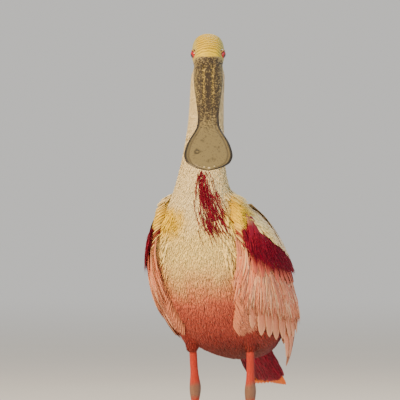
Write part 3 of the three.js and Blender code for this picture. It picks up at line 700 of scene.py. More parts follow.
def makeSkin():
    points, faces = stacked(skinParts() + [skullPart()])
    rough = meshPiece("roughSkin", points, faces, bareSkin)
    remesh = rough.modifiers.new("oneSkin", "REMESH")
    remesh.mode = "VOXEL"
    remesh.voxel_size = skinLook["voxel"]
    even = rough.modifiers.new("even", "SMOOTH")
    even.factor = 0.5
    even.iterations = 3
    graph = bpy.context.evaluated_depsgraph_get()
    mesh = bpy.data.meshes.new_from_object(rough.evaluated_get(graph))
    count = len(mesh.vertices)
    place = np.empty(count * 3, np.float32)
    mesh.vertices.foreach_get("co", place)
    place = place.reshape(-1, 3).astype(float)
    place[:, 2] = np.maximum(place[:, 2], 0.0)
    corners = np.empty(len(mesh.loops), np.int32)
    mesh.loops.foreach_get("vertex_index", corners)
    totals = np.empty(len(mesh.polygons), np.int32)
    mesh.polygons.foreach_get("loop_total", totals)
    bpy.data.objects.remove(rough)
    inBody = toBody(place)
    inSkull = toSkull(place)
    z = inBody[:, 2]
    forward = -inSkull[:, 1]
    up = inSkull[:, 2]
    wide = np.abs(inSkull[:, 0])
    colour = bodyColour(inBody, coatSeed)
    look = skinLook
    # the bare head, in blotches that run into one another
    blotch = softNoise(inSkull, 4, 6) * 1.5
    head = mixed(look["crown"], look["brow"], smooth(forward + blotch, 8, 18) * smooth(up, 4, 10))
    head = mixed(head, look["cheek"], smooth(wide - 0.45 * up + blotch, 2, 13))
    head = mixed(head, look["throat"], smooth(-up + blotch, 5, 15))
    head = mixed(head, look["edge"], smooth(forward - 0.4 * up, 17, 25) * 0.5)
    # a black band round the back of the head, and the ear openings
    behind = -(forward + up) * math.sqrt(0.5)
    above = (up - forward) * math.sqrt(0.5)
    band = smooth(-np.abs(above + 10 - 1.1 * (18 - behind)) + blotch, -9, -7) * smooth(behind, 5, 9)
    head = mixed(head, look["nape"], band)
    ear = look["ear"]
    earAway = np.hypot((forward - ear["forward"]) / ear["halfLength"], (up - ear["up"]) / ear["halfHeight"])
    outside = wide > 8
    head = mixed(head, look["nape"], 0.92 * (smooth(-earAway, -1.3, -0.8) * outside))
    head = mixed(head, look["throat"], 0.5 * np.exp(-((earAway - 1.9) / 0.5) ** 2) * outside)
    headShare = smooth(z + 0.55 * forward, 484, 492) * (np.linalg.norm(inSkull, axis=1) < 38)
    colour = mixed(colour, head, headShare)
    # the legs, darker at the ankle and on the feet
    legShare = 1 - smooth(z, 160, 166)
    leg = mixed(look["leg"], look["ankle"], smooth(-np.abs(z - 112) + softNoise(inBody, 6, 9) * 3, -13, -5))
    leg = mixed(look["foot"], leg, smooth(z, 8, 26))
    colour = mixed(colour, leg, legShare)
    creases = headShare * smooth(up, 6, 14) * (1 - band) * (1 - smooth(forward, 15, 20))
    assert (totals == 4).all(), "the skin has a face that isn't a quad"
    skin = meshPiece(
        "skin", place, [corners.reshape(-1, 4)], bareSkin, colours={"skin": colour},
        maps={"crease": creases, "scale": legShare},
    )
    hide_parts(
        "head", "neck_upper", "neck_lower", "torso", "thigh_left", "thigh_right", "shank_left",
        "shank_right", "tarsus_left", "tarsus_right", "foot_left", "foot_right",
    )
    print("skin:", len(place), "vertices")


makeSkin()


# Small feathers: each a closed, pointed, ridged blade of four rows and a tip, laid along a surface.
bladeRows = {
    "share": np.array([0, 0.3, 0.62, 0.86, 1.0]), "round": np.array([0.5, 1.0, 0.98, 0.66, 0.0]),
    "pointed": np.array([0.6, 1.0, 0.72, 0.36, 0.0]),
}
tintPoint = 10  # the point on a blade's ridge near its tip: its place on the body gives the blade's colour
evenSteps = (0.7548776662466927, 0.5698402909980532)  # steps that fill a square evenly


def bladeFaces(count):
    quads = []
    for row in range(3):
        a = row * 3
        b = a + 3
        quads += [(a, a + 1, b + 1, b), (a + 1, a + 2, b + 2, b + 1), (a + 2, a, b, b + 2)]
    tris = [(0, 2, 1), (9, 10, 12), (10, 11, 12), (11, 9, 12)]
    base = (np.arange(count) * 13)[:, None, None]
    return [(np.array(quads)[None] + base).reshape(-1, 4), (np.array(tris)[None] + base).reshape(-1, 3)]


def spreadRoots(line, inset, count, low, high, keep=None):
    # evenly spread places on a loft's surface, by area, kept where keep(t, angle, point) says so
    t = np.linspace(low, high, 241)
    angle = np.linspace(0, 2 * np.pi, 121)
    grid = line.at(t[:, None], angle[None], -inset)
    along = np.diff(grid, axis=0)[:, :-1]
    around = np.diff(grid, axis=1)[:-1]
    area = np.linalg.norm(np.cross(along, around), axis=-1)
    perRow = area.sum(1)
    rowShare = np.concatenate([[0], np.cumsum(perRow)]) / perRow.sum()
    index = np.arange(1, count + 1)
    u = (0.5 + index * evenSteps[0]) % 1
    v = (0.5 + index * evenSteps[1]) % 1
    spotT = np.interp(u, rowShare, t)
    row = np.clip(np.searchsorted(t, spotT) - 1, 0, len(t) - 2)
    cumulative = np.concatenate([np.zeros((len(t) - 1, 1)), np.cumsum(area, axis=1)], axis=1)
    cumulative /= cumulative[:, -1:]
    spotAngle = np.empty(count)
    for r in np.unique(row):
        chosen = row == r
        spotAngle[chosen] = np.interp(v[chosen], cumulative[r], angle)
    if keep is None:
        return spotT, spotAngle
    kept = keep(spotT, spotAngle, line.at(spotT, spotAngle, -inset))
    return spotT[kept], spotAngle[kept]


def layBlades(name, line, t, angle, look, colour, material, mirror=False):
    # look: length, width, lift (heights of root and tip over the loft's surface), sway in mm, shape, seed
    random = np.random.default_rng(look["seed"])
    count = len(t)
    length = look["length"] * (1 + look.get("vary", 0.2) * random.uniform(-1, 1, count))
    width = look["width"] * (1 + 0.2 * random.uniform(-1, 1, count))
    step = 1e-3
    here = line.at(t, angle)
    ahead = line.at(t + step, angle)
    speed = np.linalg.norm(ahead - here, axis=-1) / step
    beside = line.at(t, angle + step)
    girth = np.linalg.norm(beside - here, axis=-1) / step
    sway = look["sway"](t, angle, random) if callable(look["sway"]) else random.normal(0, look["sway"], count)
    share = bladeRows["share"][None]
    pathT = t[:, None] + (length / speed)[:, None] * share
    pathAngle = angle[:, None] + (sway / girth)[:, None] * share ** 1.4
    low, high = look["lift"](t, angle) if callable(look["lift"]) else look["lift"]
    low = (low + np.zeros(count))[:, None]
    top = high + look.get("ruffle", 0.6) * random.uniform(-1, 1, count)
    height = low + (top[:, None] - low) * share ** look.get("rise", 0.7)
    height -= look.get("droop", 0.0) * share ** 3
    centre = line.at(pathT, pathAngle, height)
    along = np.gradient(centre, axis=1)
    along /= np.linalg.norm(along, axis=-1, keepdims=True) + 1e-12
    outward = line.at(pathT, pathAngle, height + 1.0) - centre
    outward /= np.linalg.norm(outward, axis=-1, keepdims=True) + 1e-12
    outward = outward - along * np.sum(outward * along, -1, keepdims=True)
    outward /= np.linalg.norm(outward, axis=-1, keepdims=True) + 1e-12
    side = np.cross(along, outward)
    tilt = random.normal(0, look.get("tilt", 0.18), count)[:, None, None]
    side = side * np.cos(tilt) + outward * np.sin(tilt)
    half = 0.5 * width[:, None] * bladeRows[look["shape"]][None]
    ridge = look.get("ridge", 0.16) * half
    left = centre - side * half[..., None]
    right = centre + side * half[..., None]
    spine = centre + outward * ridge[..., None]
    rows = np.stack([left, spine, right], axis=2)[:, :4].reshape(count, 12, 3)
    points = np.concatenate([rows, centre[:, 4:5]], axis=1)
    faces = bladeFaces(count)
    if mirror:
        points, faces = mirrorImage(points, faces)
    tint = colour(points, random)
    patch = 0.003  # side of a feather's own square on the map, at its root's place on the body
    around = np.tile([0.0, 0.5, 1.0], 4).tolist() + [0.5]
    down = np.repeat([0.0, 0.3, 0.6, 0.9], 3).tolist() + [1.0]
    uvBase = np.stack([angle / (2 * np.pi) % 1 * 0.99, np.clip(t, 0, 1) * 0.99], -1)
    uv = uvBase[:, None] + patch * np.stack([around, down], -1)[None]
    meshPiece(
        name, fromBody(points.reshape(-1, 3)), faces, material, uv=uv.reshape(-1, 2),
        colours={"plume": tint.reshape(-1, 3)},
    )
    print(name, count, "feathers")


def shaded(colour, random, root=0.8, tip=1.04, vary=0.05):
    # darker at the root, lighter at the tip, and each feather a little its own
    share = np.concatenate([np.repeat(bladeRows["share"][:4], 3), [1.0]])
    light = root + (tip - root) * share ** 0.6
    own = 1 + random.uniform(-vary, vary, (len(colour), 1, 1))
    return np.clip(colour[:, None] * light[None, :, None] * own, 0, 1)


def contourColour(points, random):
    return shaded(bodyColour(points[:, tintPoint], coatSeed), random)


coatLooks = {
    "neck": {"length": 8, "width": 1.8, "lift": (-3.4, 0.0), "sway": 0.8, "ruffle": 0.35, "tilt": 0.12},
    "breast": {"length": 15, "width": 2.7, "lift": (-5.2, 0.0), "sway": 1.5, "ruffle": 0.7},
    "belly": {"length": 17, "width": 3.6, "lift": (-5.4, 0.0), "sway": 2.0, "ruffle": 0.9},
    "back": {"length": 24, "width": 8.5, "lift": (-4.6, 0.6), "sway": 1.5, "ruffle": 0.5},
    "thigh": {"count": 1500, "length": 14, "width": 3.2, "lift": (-3.5, 0.2), "sway": 1.2, "ruffle": 0.5},
}
lastStation = bodyLine.count - 1


def coatLook(part, shape, seed, **changes):
    return {**coatLooks[part], "shape": shape, "seed": seed, **changes}


def underWing(angle, point):
    # true where a folded wing hides the body
    ventral = -np.degrees(np.arcsin(np.clip(np.sin(angle), -1, 1)))
    y = point[:, 1]
    return (np.abs(point[:, 0]) > 40) & (y > -20) & (point[:, 2] > 212) & (ventral < 8) & (ventral > -34)


def bodyCoats():
    def neckKeep(t, angle, point):
        fromSkullCentre = np.linalg.norm(toSkull(fromBody(point)), axis=1)
        return (fromSkullCentre + softNoise(point, 5, 8) * 1.6 > 22.5) & (point[:, 2] < 502)

    def frontKeep(t, angle, point):
        return (np.sin(angle) < 0.35) & ~underWing(angle, point)

    def backKeep(t, angle, point):
        return (np.sin(angle) > 0.3) & ~underWing(angle, point)

    def flankKeep(t, angle, point):
        ventral = -np.degrees(np.arcsin(np.sin(angle)))
        return (ventral > -2) & (ventral < 52)

    flank = coatLook("belly", "pointed", 20, length=19, width=4.8, lift=(-5.0, 2.4))
    lowNeck = coatLook("neck", "pointed", 12, length=9, width=2)
    neckBase = coatLook("breast", "pointed", 13, length=12)
    # name, first and last station, count, where they are kept, look, material slot
    plans = [
        ("flankFeathers", 7.6, 12.6, 6500, flankKeep, flank, "pink_plumage"),
        ("neckFeathers", 1.4, 3.6, 7700, neckKeep, coatLook("neck", "pointed", 11), "white_plumage"),
        ("neckLowFeathers", 3.5, 5.7, 7200, neckKeep, lowNeck, "white_plumage"),
        ("neckBaseFeathers", 5.6, 7.5, 7600, neckKeep, neckBase, "white_plumage"),
        ("breastFeathers", 7.4, 9.3, 11200, frontKeep, coatLook("breast", "pointed", 14), "pink_plumage"),
        ("chestFeathers", 9.2, 10.9, 11200, frontKeep, coatLook("breast", "pointed", 15), "pink_plumage"),
        ("bellyFeathers", 10.8, 12.6, 10300, frontKeep, coatLook("belly", "pointed", 16), "pink_plumage"),
        ("ventFeathers", 12.5, 16.6, 6700, frontKeep, coatLook("belly", "pointed", 17), "pink_plumage"),
        ("backFeathers", 7.2, 16.6, 6000, backKeep, coatLook("back", "round", 18), "white_plumage"),
    ]
    for name, low, high, count, keep, look, slotName in plans:
        inset = 2.5 if high < 6 else 5
        t, angle = spreadRoots(bodyLine, inset, count, low / lastStation, high / lastStation, keep)
        layBlades(name, bodyLine, t, angle, look, contourColour, softPlumage)


def thighCoats():
    look = coatLook("thigh", "pointed", 19)
    for name, leg in legPlans.items():
        line = thighLine(leg)
        t, angle = spreadRoots(line, 2, look["count"], 0.3, 0.94)
        layBlades(f"thighFeathers_{name}", line, t, angle, look, contourColour, softPlumage)


bodyCoats()
thighCoats()

# The folded wing: tiers of vanes on the mantle, as in the solids but more of them and finer.
# Places on the mantle are a distance along it in mm and an angle up from the side in degrees.
wingLook = {
    "shoulder": (18, 58), "elbow": (142, 50), "wrist": (22, -8), "roll": 0.95, "rootHeight": 2.2,
    "rootSpacing": 0.55, "mapSquares": 9,
}
# the upper arm and the forearm, as low swellings under the roots of the tiers
armBolsters = [
    {"start": "wrist", "end": "elbow", "halfWidth": 16, "depth": 5.0, "tint": "carmine"},
    {"start": "shoulder", "end": "elbow", "halfWidth": 16, "depth": 3.0, "tint": "backWhite"},
]
wingSides = (("left", False), ("right", True))


def between(first, second, share):
    share = np.asarray(share)[..., None]
    return np.array(first) * (1 - share) + np.array(second) * share


def forearmRoots(t):
    return between(wingLook["wrist"], wingLook["elbow"], 0.05 + 0.9 * t)


def pairs(first, second):
    return np.stack([first, second], -1)


wingTiers = {
    "primaries": {
        "count": 6, "root": lambda t: forearmRoots(0.4 * t),
        "tip": lambda t: pairs(284 + 55 * t, -26 + 50 * t), "width": 17, "height": 0.9, "tint": "palePink",
        "edge": "vaneEdge", "rows": 22,
    },
    "secondaries": {
        "count": 15, "root": forearmRoots,
        "tip": lambda t: pairs(146 + 162 * t ** 0.9, -51 + 108 * t ** 1.2), "width": 22, "height": 3.8,
        "tint": "palePink", "edge": "vaneEdge", "rows": 20,
    },
    "greaterCoverts": {
        "count": 14, "root": forearmRoots, "tip": lambda t: pairs(106 + 142 * t, -39 + 94 * t),
        "width": 19, "height": 6.2, "tint": "palePink", "edge": "vaneEdge", "rows": 16,
    },
    "medianCoverts": {
        "count": 14, "root": forearmRoots, "tip": lambda t: pairs(84 + 130 * t, -31 + 88 * t),
        "width": 17, "height": 8.2, "tint": "rosePink", "edge": "palePink", "rows": 14,
    },
    "lesserCoverts": {
        "count": 14, "root": forearmRoots, "tip": lambda t: pairs(66 + 116 * t, -24 + 80 * t),
        "width": 15, "height": 9.8, "tint": "palePink", "edge": "vaneEdge", "rows": 12,
    },
    "scapulars": {
        "count": 7, "root": lambda t: between((34, 42), (50, 70), t),
        "tip": lambda t: pairs(112 + 122 * t, 20 + 60 * t), "width": 18, "height": 12.3,
        "tint": "backWhite", "edge": "vaneEdge", "rows": 16,
    },
}


def mantlePoint(distance, angle):
    return mantleLine.at(mantleLine.shareAt(distance), angle)


def vaneWidth(along):
    body = np.minimum(1, 0.42 + 1.6 * along) * (1 - 0.15 * smooth(along, 0.45, 0.8))
    tip = np.clip(1 - (np.maximum(along - 0.66, 0) / 0.34) ** 2, 0, 1) ** 0.7
    return body * np.maximum(tip, 0.03)


vaneColumns = np.array([-1, -0.66, -0.33, -0.07, 0, 0.07, 0.33, 0.66, 1])
vaneTop = np.array([0.1, 0.3, 0.42, 0.46, 0.85, 0.46, 0.42, 0.3, 0.1])


def tierVanes(tier, seed):
    plan = wingTiers[tier]
    random = np.random.default_rng(seed)
    count = plan["count"]
    t = np.linspace(0, 1, count)
    root = plan["root"](t)
    tip = plan["tip"](t) + random.normal(0, 1, (count, 2)) * np.array([2.0, 0.7])
    rows = plan["rows"]
    along = 1 - (1 - np.linspace(0, 1, rows)) ** 1.25
    a = along[None, :, None]
    q = vaneColumns[None, None]
    distance = root[:, None, None, 0] + (tip - root)[:, None, None, 0] * a
    angle = np.radians(root[:, None, None, 1] + (tip - root)[:, None, None, 1] * a)
    distance = distance + np.zeros_like(q)
    angle = angle + np.zeros_like(q)
    here = mantlePoint(distance, angle)
    forward = (mantlePoint(distance + 0.5, angle) - here) / 0.5
    around = (mantlePoint(distance, angle + 0.01) - here) / 0.01
    outward = np.cross(forward, around)
    outward /= np.linalg.norm(outward, axis=-1, keepdims=True)
    swing = np.radians(tip - root)[:, 1][:, None, None, None]
    path = forward * (tip - root)[:, 0][:, None, None, None] + around * swing
    cross = np.cross(outward, path)
    cross /= np.linalg.norm(cross, axis=-1, keepdims=True)
    fullness = vaneWidth(a)
    ragged = 1 + 0.05 * random.normal(0, 1, (count, rows, 1)) * np.abs(q)
    width = plan["width"] * (1 + 0.06 * random.normal(0, 1, (count, 1, 1)))
    aside = 0.5 * width * fullness * q * ragged
    stretch = np.sum(forward * forward, -1)
    shear = np.sum(forward * around, -1)
    girth = np.sum(around * around, -1)
    area = stretch * girth - shear ** 2
    u = np.sum(cross * forward, -1) * aside
    v = np.sum(cross * around, -1) * aside
    place = mantlePoint(distance + (girth * u - shear * v) / area, angle + (stretch * v - shear * u) / area)
    look = wingLook
    sunk = look["rootHeight"] + look["rootSpacing"] * plan["height"]
    above = sunk + (plan["height"] - sunk) * smooth(a, 0, 0.4) - look["roll"] * q * fullness
    above = above + 0.35 * random.normal(0, 1, (count, 1, 1)) * smooth(a, 0.5, 1)
    low = place + outward * above[..., None]
    high = place + outward * (above + vaneTop[None, None] * (1 - 0.5 * a))[..., None]
    tint = vaneColour(plumageTones[plan["tint"]], plumageTones[plan["edge"]], a, q, random, count)
    if tier in ("medianCoverts", "lesserCoverts"):
        tint = mixed(tint, plumageTones["carmine"], carmineShare(distance, np.degrees(angle)))
    reach = np.linalg.norm(place - place[:, :1], axis=-1) + 0.9 * np.abs(aside)
    return low, high, tint, rows, reach


def vaneColour(base, edge, along, across, random, count):
    across = np.abs(across) + np.zeros_like(along)
    own = 1 + 0.06 * random.normal(0, 1, (count, 1, 1))
    share = smooth(across, 0.6, 1.0) * 0.5 + 0.3 * smooth(along, 0.8, 1)
    share = np.clip(share + np.zeros((count, 1, 1)), 0, 1)
    colour = mixed(base, edge, share)
    shaft = smooth(-across, -0.1, -0.02)
    colour = mixed(colour, base * 0.62, (0.7 * shaft) + np.zeros((count, 1, 1)))
    shadow = 0.72 + 0.28 * smooth(along, 0.15, 0.7)
    return np.clip(colour * (own * shadow)[..., None], 0, 1)


def makeWing(name, mirror):
    parts = []
    tints = []
    barbs = []
    maps = []
    perSide = wingLook["mapSquares"]
    placed = 0
    for index, tier in enumerate(wingTiers):
        low, high, tint, rows, reach = tierVanes(tier, 40 + index)
        count = len(low)
        points = np.stack([low, high], 1).reshape(-1, 3)
        parts.append((points, slabFaces(rows, len(vaneColumns), count, True)))
        tints.append(np.stack([tint, tint], 1).reshape(-1, 3))
        barbs.append(np.stack([reach, reach], 1).ravel())
        maps.append(vaneUv(placed, count, rows, perSide))
        placed += count
    for plan in armBolsters:
        points, faces = armBolster(plan)
        parts.append((points, faces))
        maps.append(boxUv(points, placed, perSide))
        placed += 1
        barbs.append(points[:, 1])
        tints.append(np.tile(plumageTones[plan["tint"]], (len(points), 1)))
    points, faces = stacked(parts)
    if mirror:
        points, faces = mirrorImage(points, faces)
    piece = meshPiece(
        f"wingVanes_{name}", fromBody(points), faces, longPlumage, uv=np.concatenate(maps),
        colours={"plume": np.concatenate(tints)}, maps={"barb": np.concatenate(barbs)},
    )
    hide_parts(f"wing_{name}")
    print("wing", name, len(points), "vertices")


def vaneUv(first, count, rows, perSide):
    # each vane has a square of its own on the map, across and along it, alike for its two faces
    index = (first + np.arange(count))[:, None, None, None]
    across = index % perSide + 0.05 + 0.45 * (vaneColumns + 1)[None, None, None]
    along = index // perSide + 0.05 + 0.9 * np.linspace(0, 1, rows)[None, None, :, None]
    sheet = np.zeros((count, 2, rows, len(vaneColumns)))
    return np.stack([across + sheet, along + sheet], -1).reshape(-1, 2) / perSide


def boxUv(points, index, perSide):
    # a plain shape seen from its side, in one square of the map
    flat = points[:, 1:]
    share = (flat - flat.min(0)) / np.ptp(flat, axis=0)
    return (np.array([index % perSide, index // perSide]) + 0.05 + 0.9 * share) / perSide


def armBolster(plan):
    along = np.linspace(0, 1, 42)[:, None]
    turn = np.linspace(0, 2 * np.pi, 24, endpoint=False)[None]
    swell = np.sqrt(np.sin(np.pi * np.clip(along, 0, 1)))
    track = between(wingLook[plan["start"]], wingLook[plan["end"]], along * 1.12 - 0.06)
    distance = np.maximum(track[..., 0], 0)
    angle = np.radians(track[..., 1])
    t = mantleLine.shareAt(distance)
    centre = mantleLine.sample(t)[0][..., :3]
    girth = np.linalg.norm(mantleLine.at(t, angle) - centre, axis=-1)
    place = mantleLine.at(t, angle + np.cos(turn) * plan["halfWidth"] * swell / girth)
    out = place - centre
    out /= np.linalg.norm(out, axis=-1, keepdims=True)
    grid = place + out * (plan["depth"] * (1.04 + np.sin(turn) * swell))[..., None]
    return closedBody(grid[0, 0], grid[1:-1], grid[-1, 0])


for wingName, mirrored in wingSides:
    makeWing(wingName, mirrored)


def layOnBothWings(label, t, angle, look, colour, material):
    for name, mirror in wingSides:
        layBlades(f"{label}_{name}", mantleLine, t, angle, look, colour, material, mirror)


# Carmine fringe: long pointed plumes that hang over the wing from the bend of the forearm.
fringeLook = {
    "count": 2000, "length": 22, "vary": 0.45, "width": 2.2, "lift": (6.0, 12.4), "shape": "pointed",
    "seed": 31, "ruffle": 1.0, "rise": 0.5, "ridge": 0.3,
}
# the strip that the plumes grow from, in degrees by distance along the mantle
fringeRoots = {
    "distance": [30, 40, 58, 95, 132, 145], "top": [-16, -6, 8, 26, 48, 54],
    "bottom": [-24, -26, -16, 11, 37, 47],
}


def carmineColour(points, random):
    tone = plumageTones
    base = mixed(tone["carmine"], tone["deepCarmine"], random.uniform(0, 0.7, len(points)))
    return shaded(base, random, 0.55, 1.15, 0.2)


def makeFringes():
    random = np.random.default_rng(32)
    count = fringeLook["count"]
    share = random.uniform(0, 1, count)
    distance = 37 + 103 * share + random.normal(0, 2.5, count)
    top = np.interp(distance, fringeRoots["distance"], fringeRoots["top"])
    bottom = np.interp(distance, fringeRoots["distance"], fringeRoots["bottom"])
    degrees = bottom + (top - bottom) * random.uniform(0, 1, count)
    t = mantleLine.shareAt(distance)
    angle = np.radians(degrees)
    look = dict(fringeLook)
    look["sway"] = lambda t, a, r: r.normal(-6, 2.5, len(t)) * (1 - share) + r.normal(-2, 2.5, len(t)) * share
    layOnBothWings("carmineFringe", t, angle, look, carmineColour, silkPlumage)


makeFringes()


# Feathers that close the wing's front: over its lower edge, and from the back up onto the scapulars.
edgeLook = {"count": 2300, "vary": 0.3, "width": 3.6, "shape": "pointed", "ruffle": 0.8, "rise": 0.6}
streakLook = {
    "count": 900, "length": 50, "vary": 0.35, "width": 5.4, "shape": "pointed", "seed": 45, "ruffle": 0.7,
    "rise": 0.35, "droop": 1.8,
}
mantleLook = {"count": 11500, "vary": 0.25, "shape": "round", "sway": 1.5, "ruffle": 0.5, "rise": 0.8}
# where the mantle's feathers stop towards the wing's edge, in degrees by distance
mantleEdge = {"distance": [0, 18, 35, 75, 95, 120, 150], "degrees": [-30, -12, 3, 21, 28, 42, 52]}


def makeWingEdges():
    random = np.random.default_rng(37)
    count = edgeLook["count"]
    share = random.uniform(0, 1, count) ** 0.8
    distance = 3 + 128 * share
    degrees = -6 - 50 * share ** 0.9 - random.uniform(-10, 9, count)
    t = mantleLine.shareAt(distance)
    angle = np.radians(degrees)
    look = dict(edgeLook, seed=38, length=10 + 10 * share)
    look["lift"] = lambda t, a: (-3.0, 3.0 + 8.0 * (1 - share) ** 1.1)
    look["sway"] = lambda t, a, r: r.normal(2.5, 1.5, len(t))

    def colour(points, random):
        tone = plumageTones
        base = mixed(bodyColour(points[:, tintPoint], coatSeed), tone["palePink"], smooth(distance, 35, 80))
        band = carmineShare(distance + 5, degrees + random.normal(0, 1.5, count))
        return shaded(mixed(base, tone["carmine"], band), random, 0.78, 1.05, 0.08)

    layOnBothWings("wingEdge", t, angle, look, colour, softPlumage)


def makeWingStreaks():
    # long soft coverts that hang from under the carmine band over the stiff ones
    random = np.random.default_rng(44)
    count = streakLook["count"]
    share = random.uniform(0, 1, count)
    distance = 42 + 95 * share + random.uniform(0, 26, count)
    below = random.uniform(0, 1, count)
    degrees = -27 + 35 * share ** 0.8 - 12 * below * (1 - 0.6 * share)
    t = mantleLine.shareAt(distance)
    angle = np.radians(degrees)
    look = dict(streakLook)
    look["lift"] = lambda t, a: (5.0, 9.0 - 3.2 * below * (1 - share))
    look["sway"] = lambda t, a, r: -50 * (0.36 - 0.4 * share) + r.normal(0, 2.2, len(t))

    def colour(points, random):
        tone = plumageTones
        base = mixed(tone["palePink"], tone["vaneEdge"], random.uniform(0, 1, count) ** 1.6)
        base = mixed(base, tone["rosePink"], random.uniform(0, 0.45, count))
        return shaded(base, random, 0.74, 1.08, 0.06)

    layOnBothWings("wingStreaks", t, angle, look, colour, softPlumage)


def makeMantleFeathers():
    def keep(t, angle, point):
        distance = np.interp(t, mantleLine.shares, mantleLine.lengths)
        edge = np.interp(distance, mantleEdge["distance"], mantleEdge["degrees"])
        return np.degrees(np.arcsin(np.sin(angle))) > edge

    t, angle = spreadRoots(mantleLine, -2, mantleLook["count"], 0.0, 0.62, keep)

    def lift(t, angle):
        aside = smooth(np.abs(np.cos(angle)), 0.0, 0.3)
        ahead = smooth(t, 0.0, 0.16)
        behind = smooth(t, 0.34, 0.5)
        return -4 + 9 * aside * ahead, 0.9 + (12.5 - 4.6 * behind) * aside * smooth(t, -0.02, 0.16)

    def colour(points, random):
        tone = plumageTones
        spots = points[:, tintPoint]
        base = mixed(tone["backWhite"], tone["backPink"], smooth(spots[:, 1], 0, 90))
        base = mixed(bodyColour(spots, coatSeed), base, smooth(spots[:, 1], -40, 0))
        return shaded(base, random, 0.82, 1.04, 0.05)

    growth = smooth(t, 0.0, 0.2)
    look = dict(mantleLook, seed=39, lift=lift, length=8 + 16 * growth, width=2.4 + 4.8 * growth)
    layBlades("mantleFeathers", mantleLine, t, angle, look, colour, softPlumage)


makeWingEdges()
makeWingStreaks()
makeMantleFeathers()

# Crimson tuft down the front of the neck, a little to the bird's left.
tuftLook = {
    "count": 230, "length": 27, "vary": 0.4, "width": 1.0, "lift": (-2.5, 2.2), "shape": "pointed",
    "seed": 33, "ruffle": 1.2, "rise": 0.6, "ridge": 0.35,
}


def makeTuft():
    random = np.random.default_rng(34)
    count = tuftLook["count"]
    share = random.beta(1.0, 1.0, count)
    height = 382 - 66 * share
    spread = random.normal(0, 1, count) * (3.0 + 4.6 * share)
    aside = 9 + 15 * share + spread
    front = 1.5 * np.pi
    track = np.linspace(0.2, 0.75, 400)
    heights = bodyLine.at(track, np.full(len(track), front))[:, 2]
    t = np.interp(-height, -heights, track)
    values, _ = bodyLine.sample(t)
    angle = front + np.arcsin(np.clip(aside / values[:, 3], -0.95, 0.95))
    look = dict(tuftLook)
    look["sway"] = lambda t, a, r: 5 * share - 0.1 * spread + r.normal(1.5, 2.6, len(t))
    layBlades("neckTuft", bodyLine, t, angle, look, carmineColour, silkPlumage)


makeTuft()

# Tail: twelve long vanes in a closed fan, with crimson plumes over and under their roots.
tailLook = {
    "root": np.array([0.0, 96.0, 170.0]), "pitch": math.radians(-36), "vanes": 12, "spread": 13, "start": 14,
    "length": 82, "width": 15, "step": 0.62, "mapSquares": 4,
}


def fromTail(points):
    return turnedX(points, tailLook["pitch"]) + tailLook["root"]


def makeTail():
    look = tailLook
    random = np.random.default_rng(35)
    rows = 20
    count = look["vanes"]
    place = (np.arange(count) - (count - 1) / 2) / ((count - 1) / 2)
    order = np.argsort(np.argsort(np.abs(place) + 0.01 * (place > 0)))
    angle = np.radians(look["spread"]) * place[:, None, None]
    along = np.linspace(0, 1, rows)[None, :, None]
    q = vaneColumns[None, None]
    ragged = 1 + 0.04 * random.normal(0, 1, (count, rows, 1)) * np.abs(q)
    aside = 0.5 * look["width"] * vaneWidth(along) * q * ragged
    reach = look["start"] + (look["length"] - 5 * np.abs(place[:, None, None])) * along
    x = np.sin(angle) * reach + np.cos(angle) * aside
    y = np.cos(angle) * reach - np.sin(angle) * aside
    z = 0.4 - look["step"] * order[:, None, None] + np.zeros_like(x)
    low = np.stack([x, y, z], -1)
    high = np.stack([x, y, z + vaneTop[None, None] * (1 - 0.5 * along)], -1)
    points = fromTail(np.stack([low, high], 1).reshape(-1, 3))
    tint = vaneColour(plumageTones["orange"], plumageTones["orange"] * 1.15, along, q, random, count)
    tint = mixed(plumageTones["carmine"], tint, smooth(along, 0.2, 0.62) * np.ones(tint.shape[:3]))
    faces = slabFaces(rows, len(vaneColumns), count, False)
    slant = reach + 0.9 * np.abs(aside)
    uv = vaneUv(0, count, rows, look["mapSquares"])
    piece = meshPiece(
        "tailVanes", fromBody(points), faces, longPlumage, uv=uv,
        colours={"plume": np.stack([tint, tint], 1).reshape(-1, 3)},
        maps={"barb": np.stack([slant, slant], 1).ravel()},
    )
    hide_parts("tail")


# a closed shape round the tail's root that the coverts lie on, in the tail's own frame
tailStump = Loft([(0, *row) for row in [
    (70, 182, 6, 6, 6), (84, 174, 18, 13, 13), (100, 163, 21, 11, 12), (116, 151, 22, 9, 11),
    (134, 138, 23, 7, 9.5), (152, 125, 22, 4, 8), (160, 119, 8, 1, 4),
]])
covertLook = {
    "count": 1500, "length": 34, "vary": 0.3, "width": 4.2, "lift": (-2.0, 0.4), "sway": 2.4,
    "shape": "pointed", "seed": 36, "ruffle": 0.9, "rise": 0.8,
}


def makeTailCoverts():
    t, angle = spreadRoots(tailStump, 1, covertLook["count"], 0.05, 0.62)
    layBlades("tailCoverts", tailStump, t, angle, covertLook, carmineColour, silkPlumage)


makeTail()
makeTailCoverts()
print("tail ready")


# Bill: two mandibles, each a dome over the mouth line, with grooves, a rim round the spoon and mottling.
# s is the distance from the bill's root and x the distance to its left.
# rim: painted shade, a dark line in the groove inside the spoon's rim; edge: near black, for the real spots
# and ring and for painted shade along the mouth line and in the nostrils
billLook = {
    "tan": linear("#8c8054"), "spoon": linear("#736b4a"), "groove": linear("#aa9748"),
    "rim": linear("#3a3226"), "edge": linear("#15100c"), "under": linear("#6c6346"),
    "grooveAt": 5.4, "mouthGap": 0.25,
    "nostril": {"aside": 5.6, "at": 14, "half": 4.4, "width": 0.95, "depth": 1.7},
    "ring": {"x": -13, "s": 141, "radius": 2.5}, "nodules": 9,
}


def nostrilShare(x, s):
    # 1 inside the two slits in the grooves near the bill's root
    slit = billLook["nostril"]
    inLength = smooth(-np.abs(s - slit["at"]), -slit["half"] - 0.9, -slit["half"] + 0.9)
    return np.exp(-((np.abs(x) - slit["aside"]) / slit["width"]) ** 2) * inLength


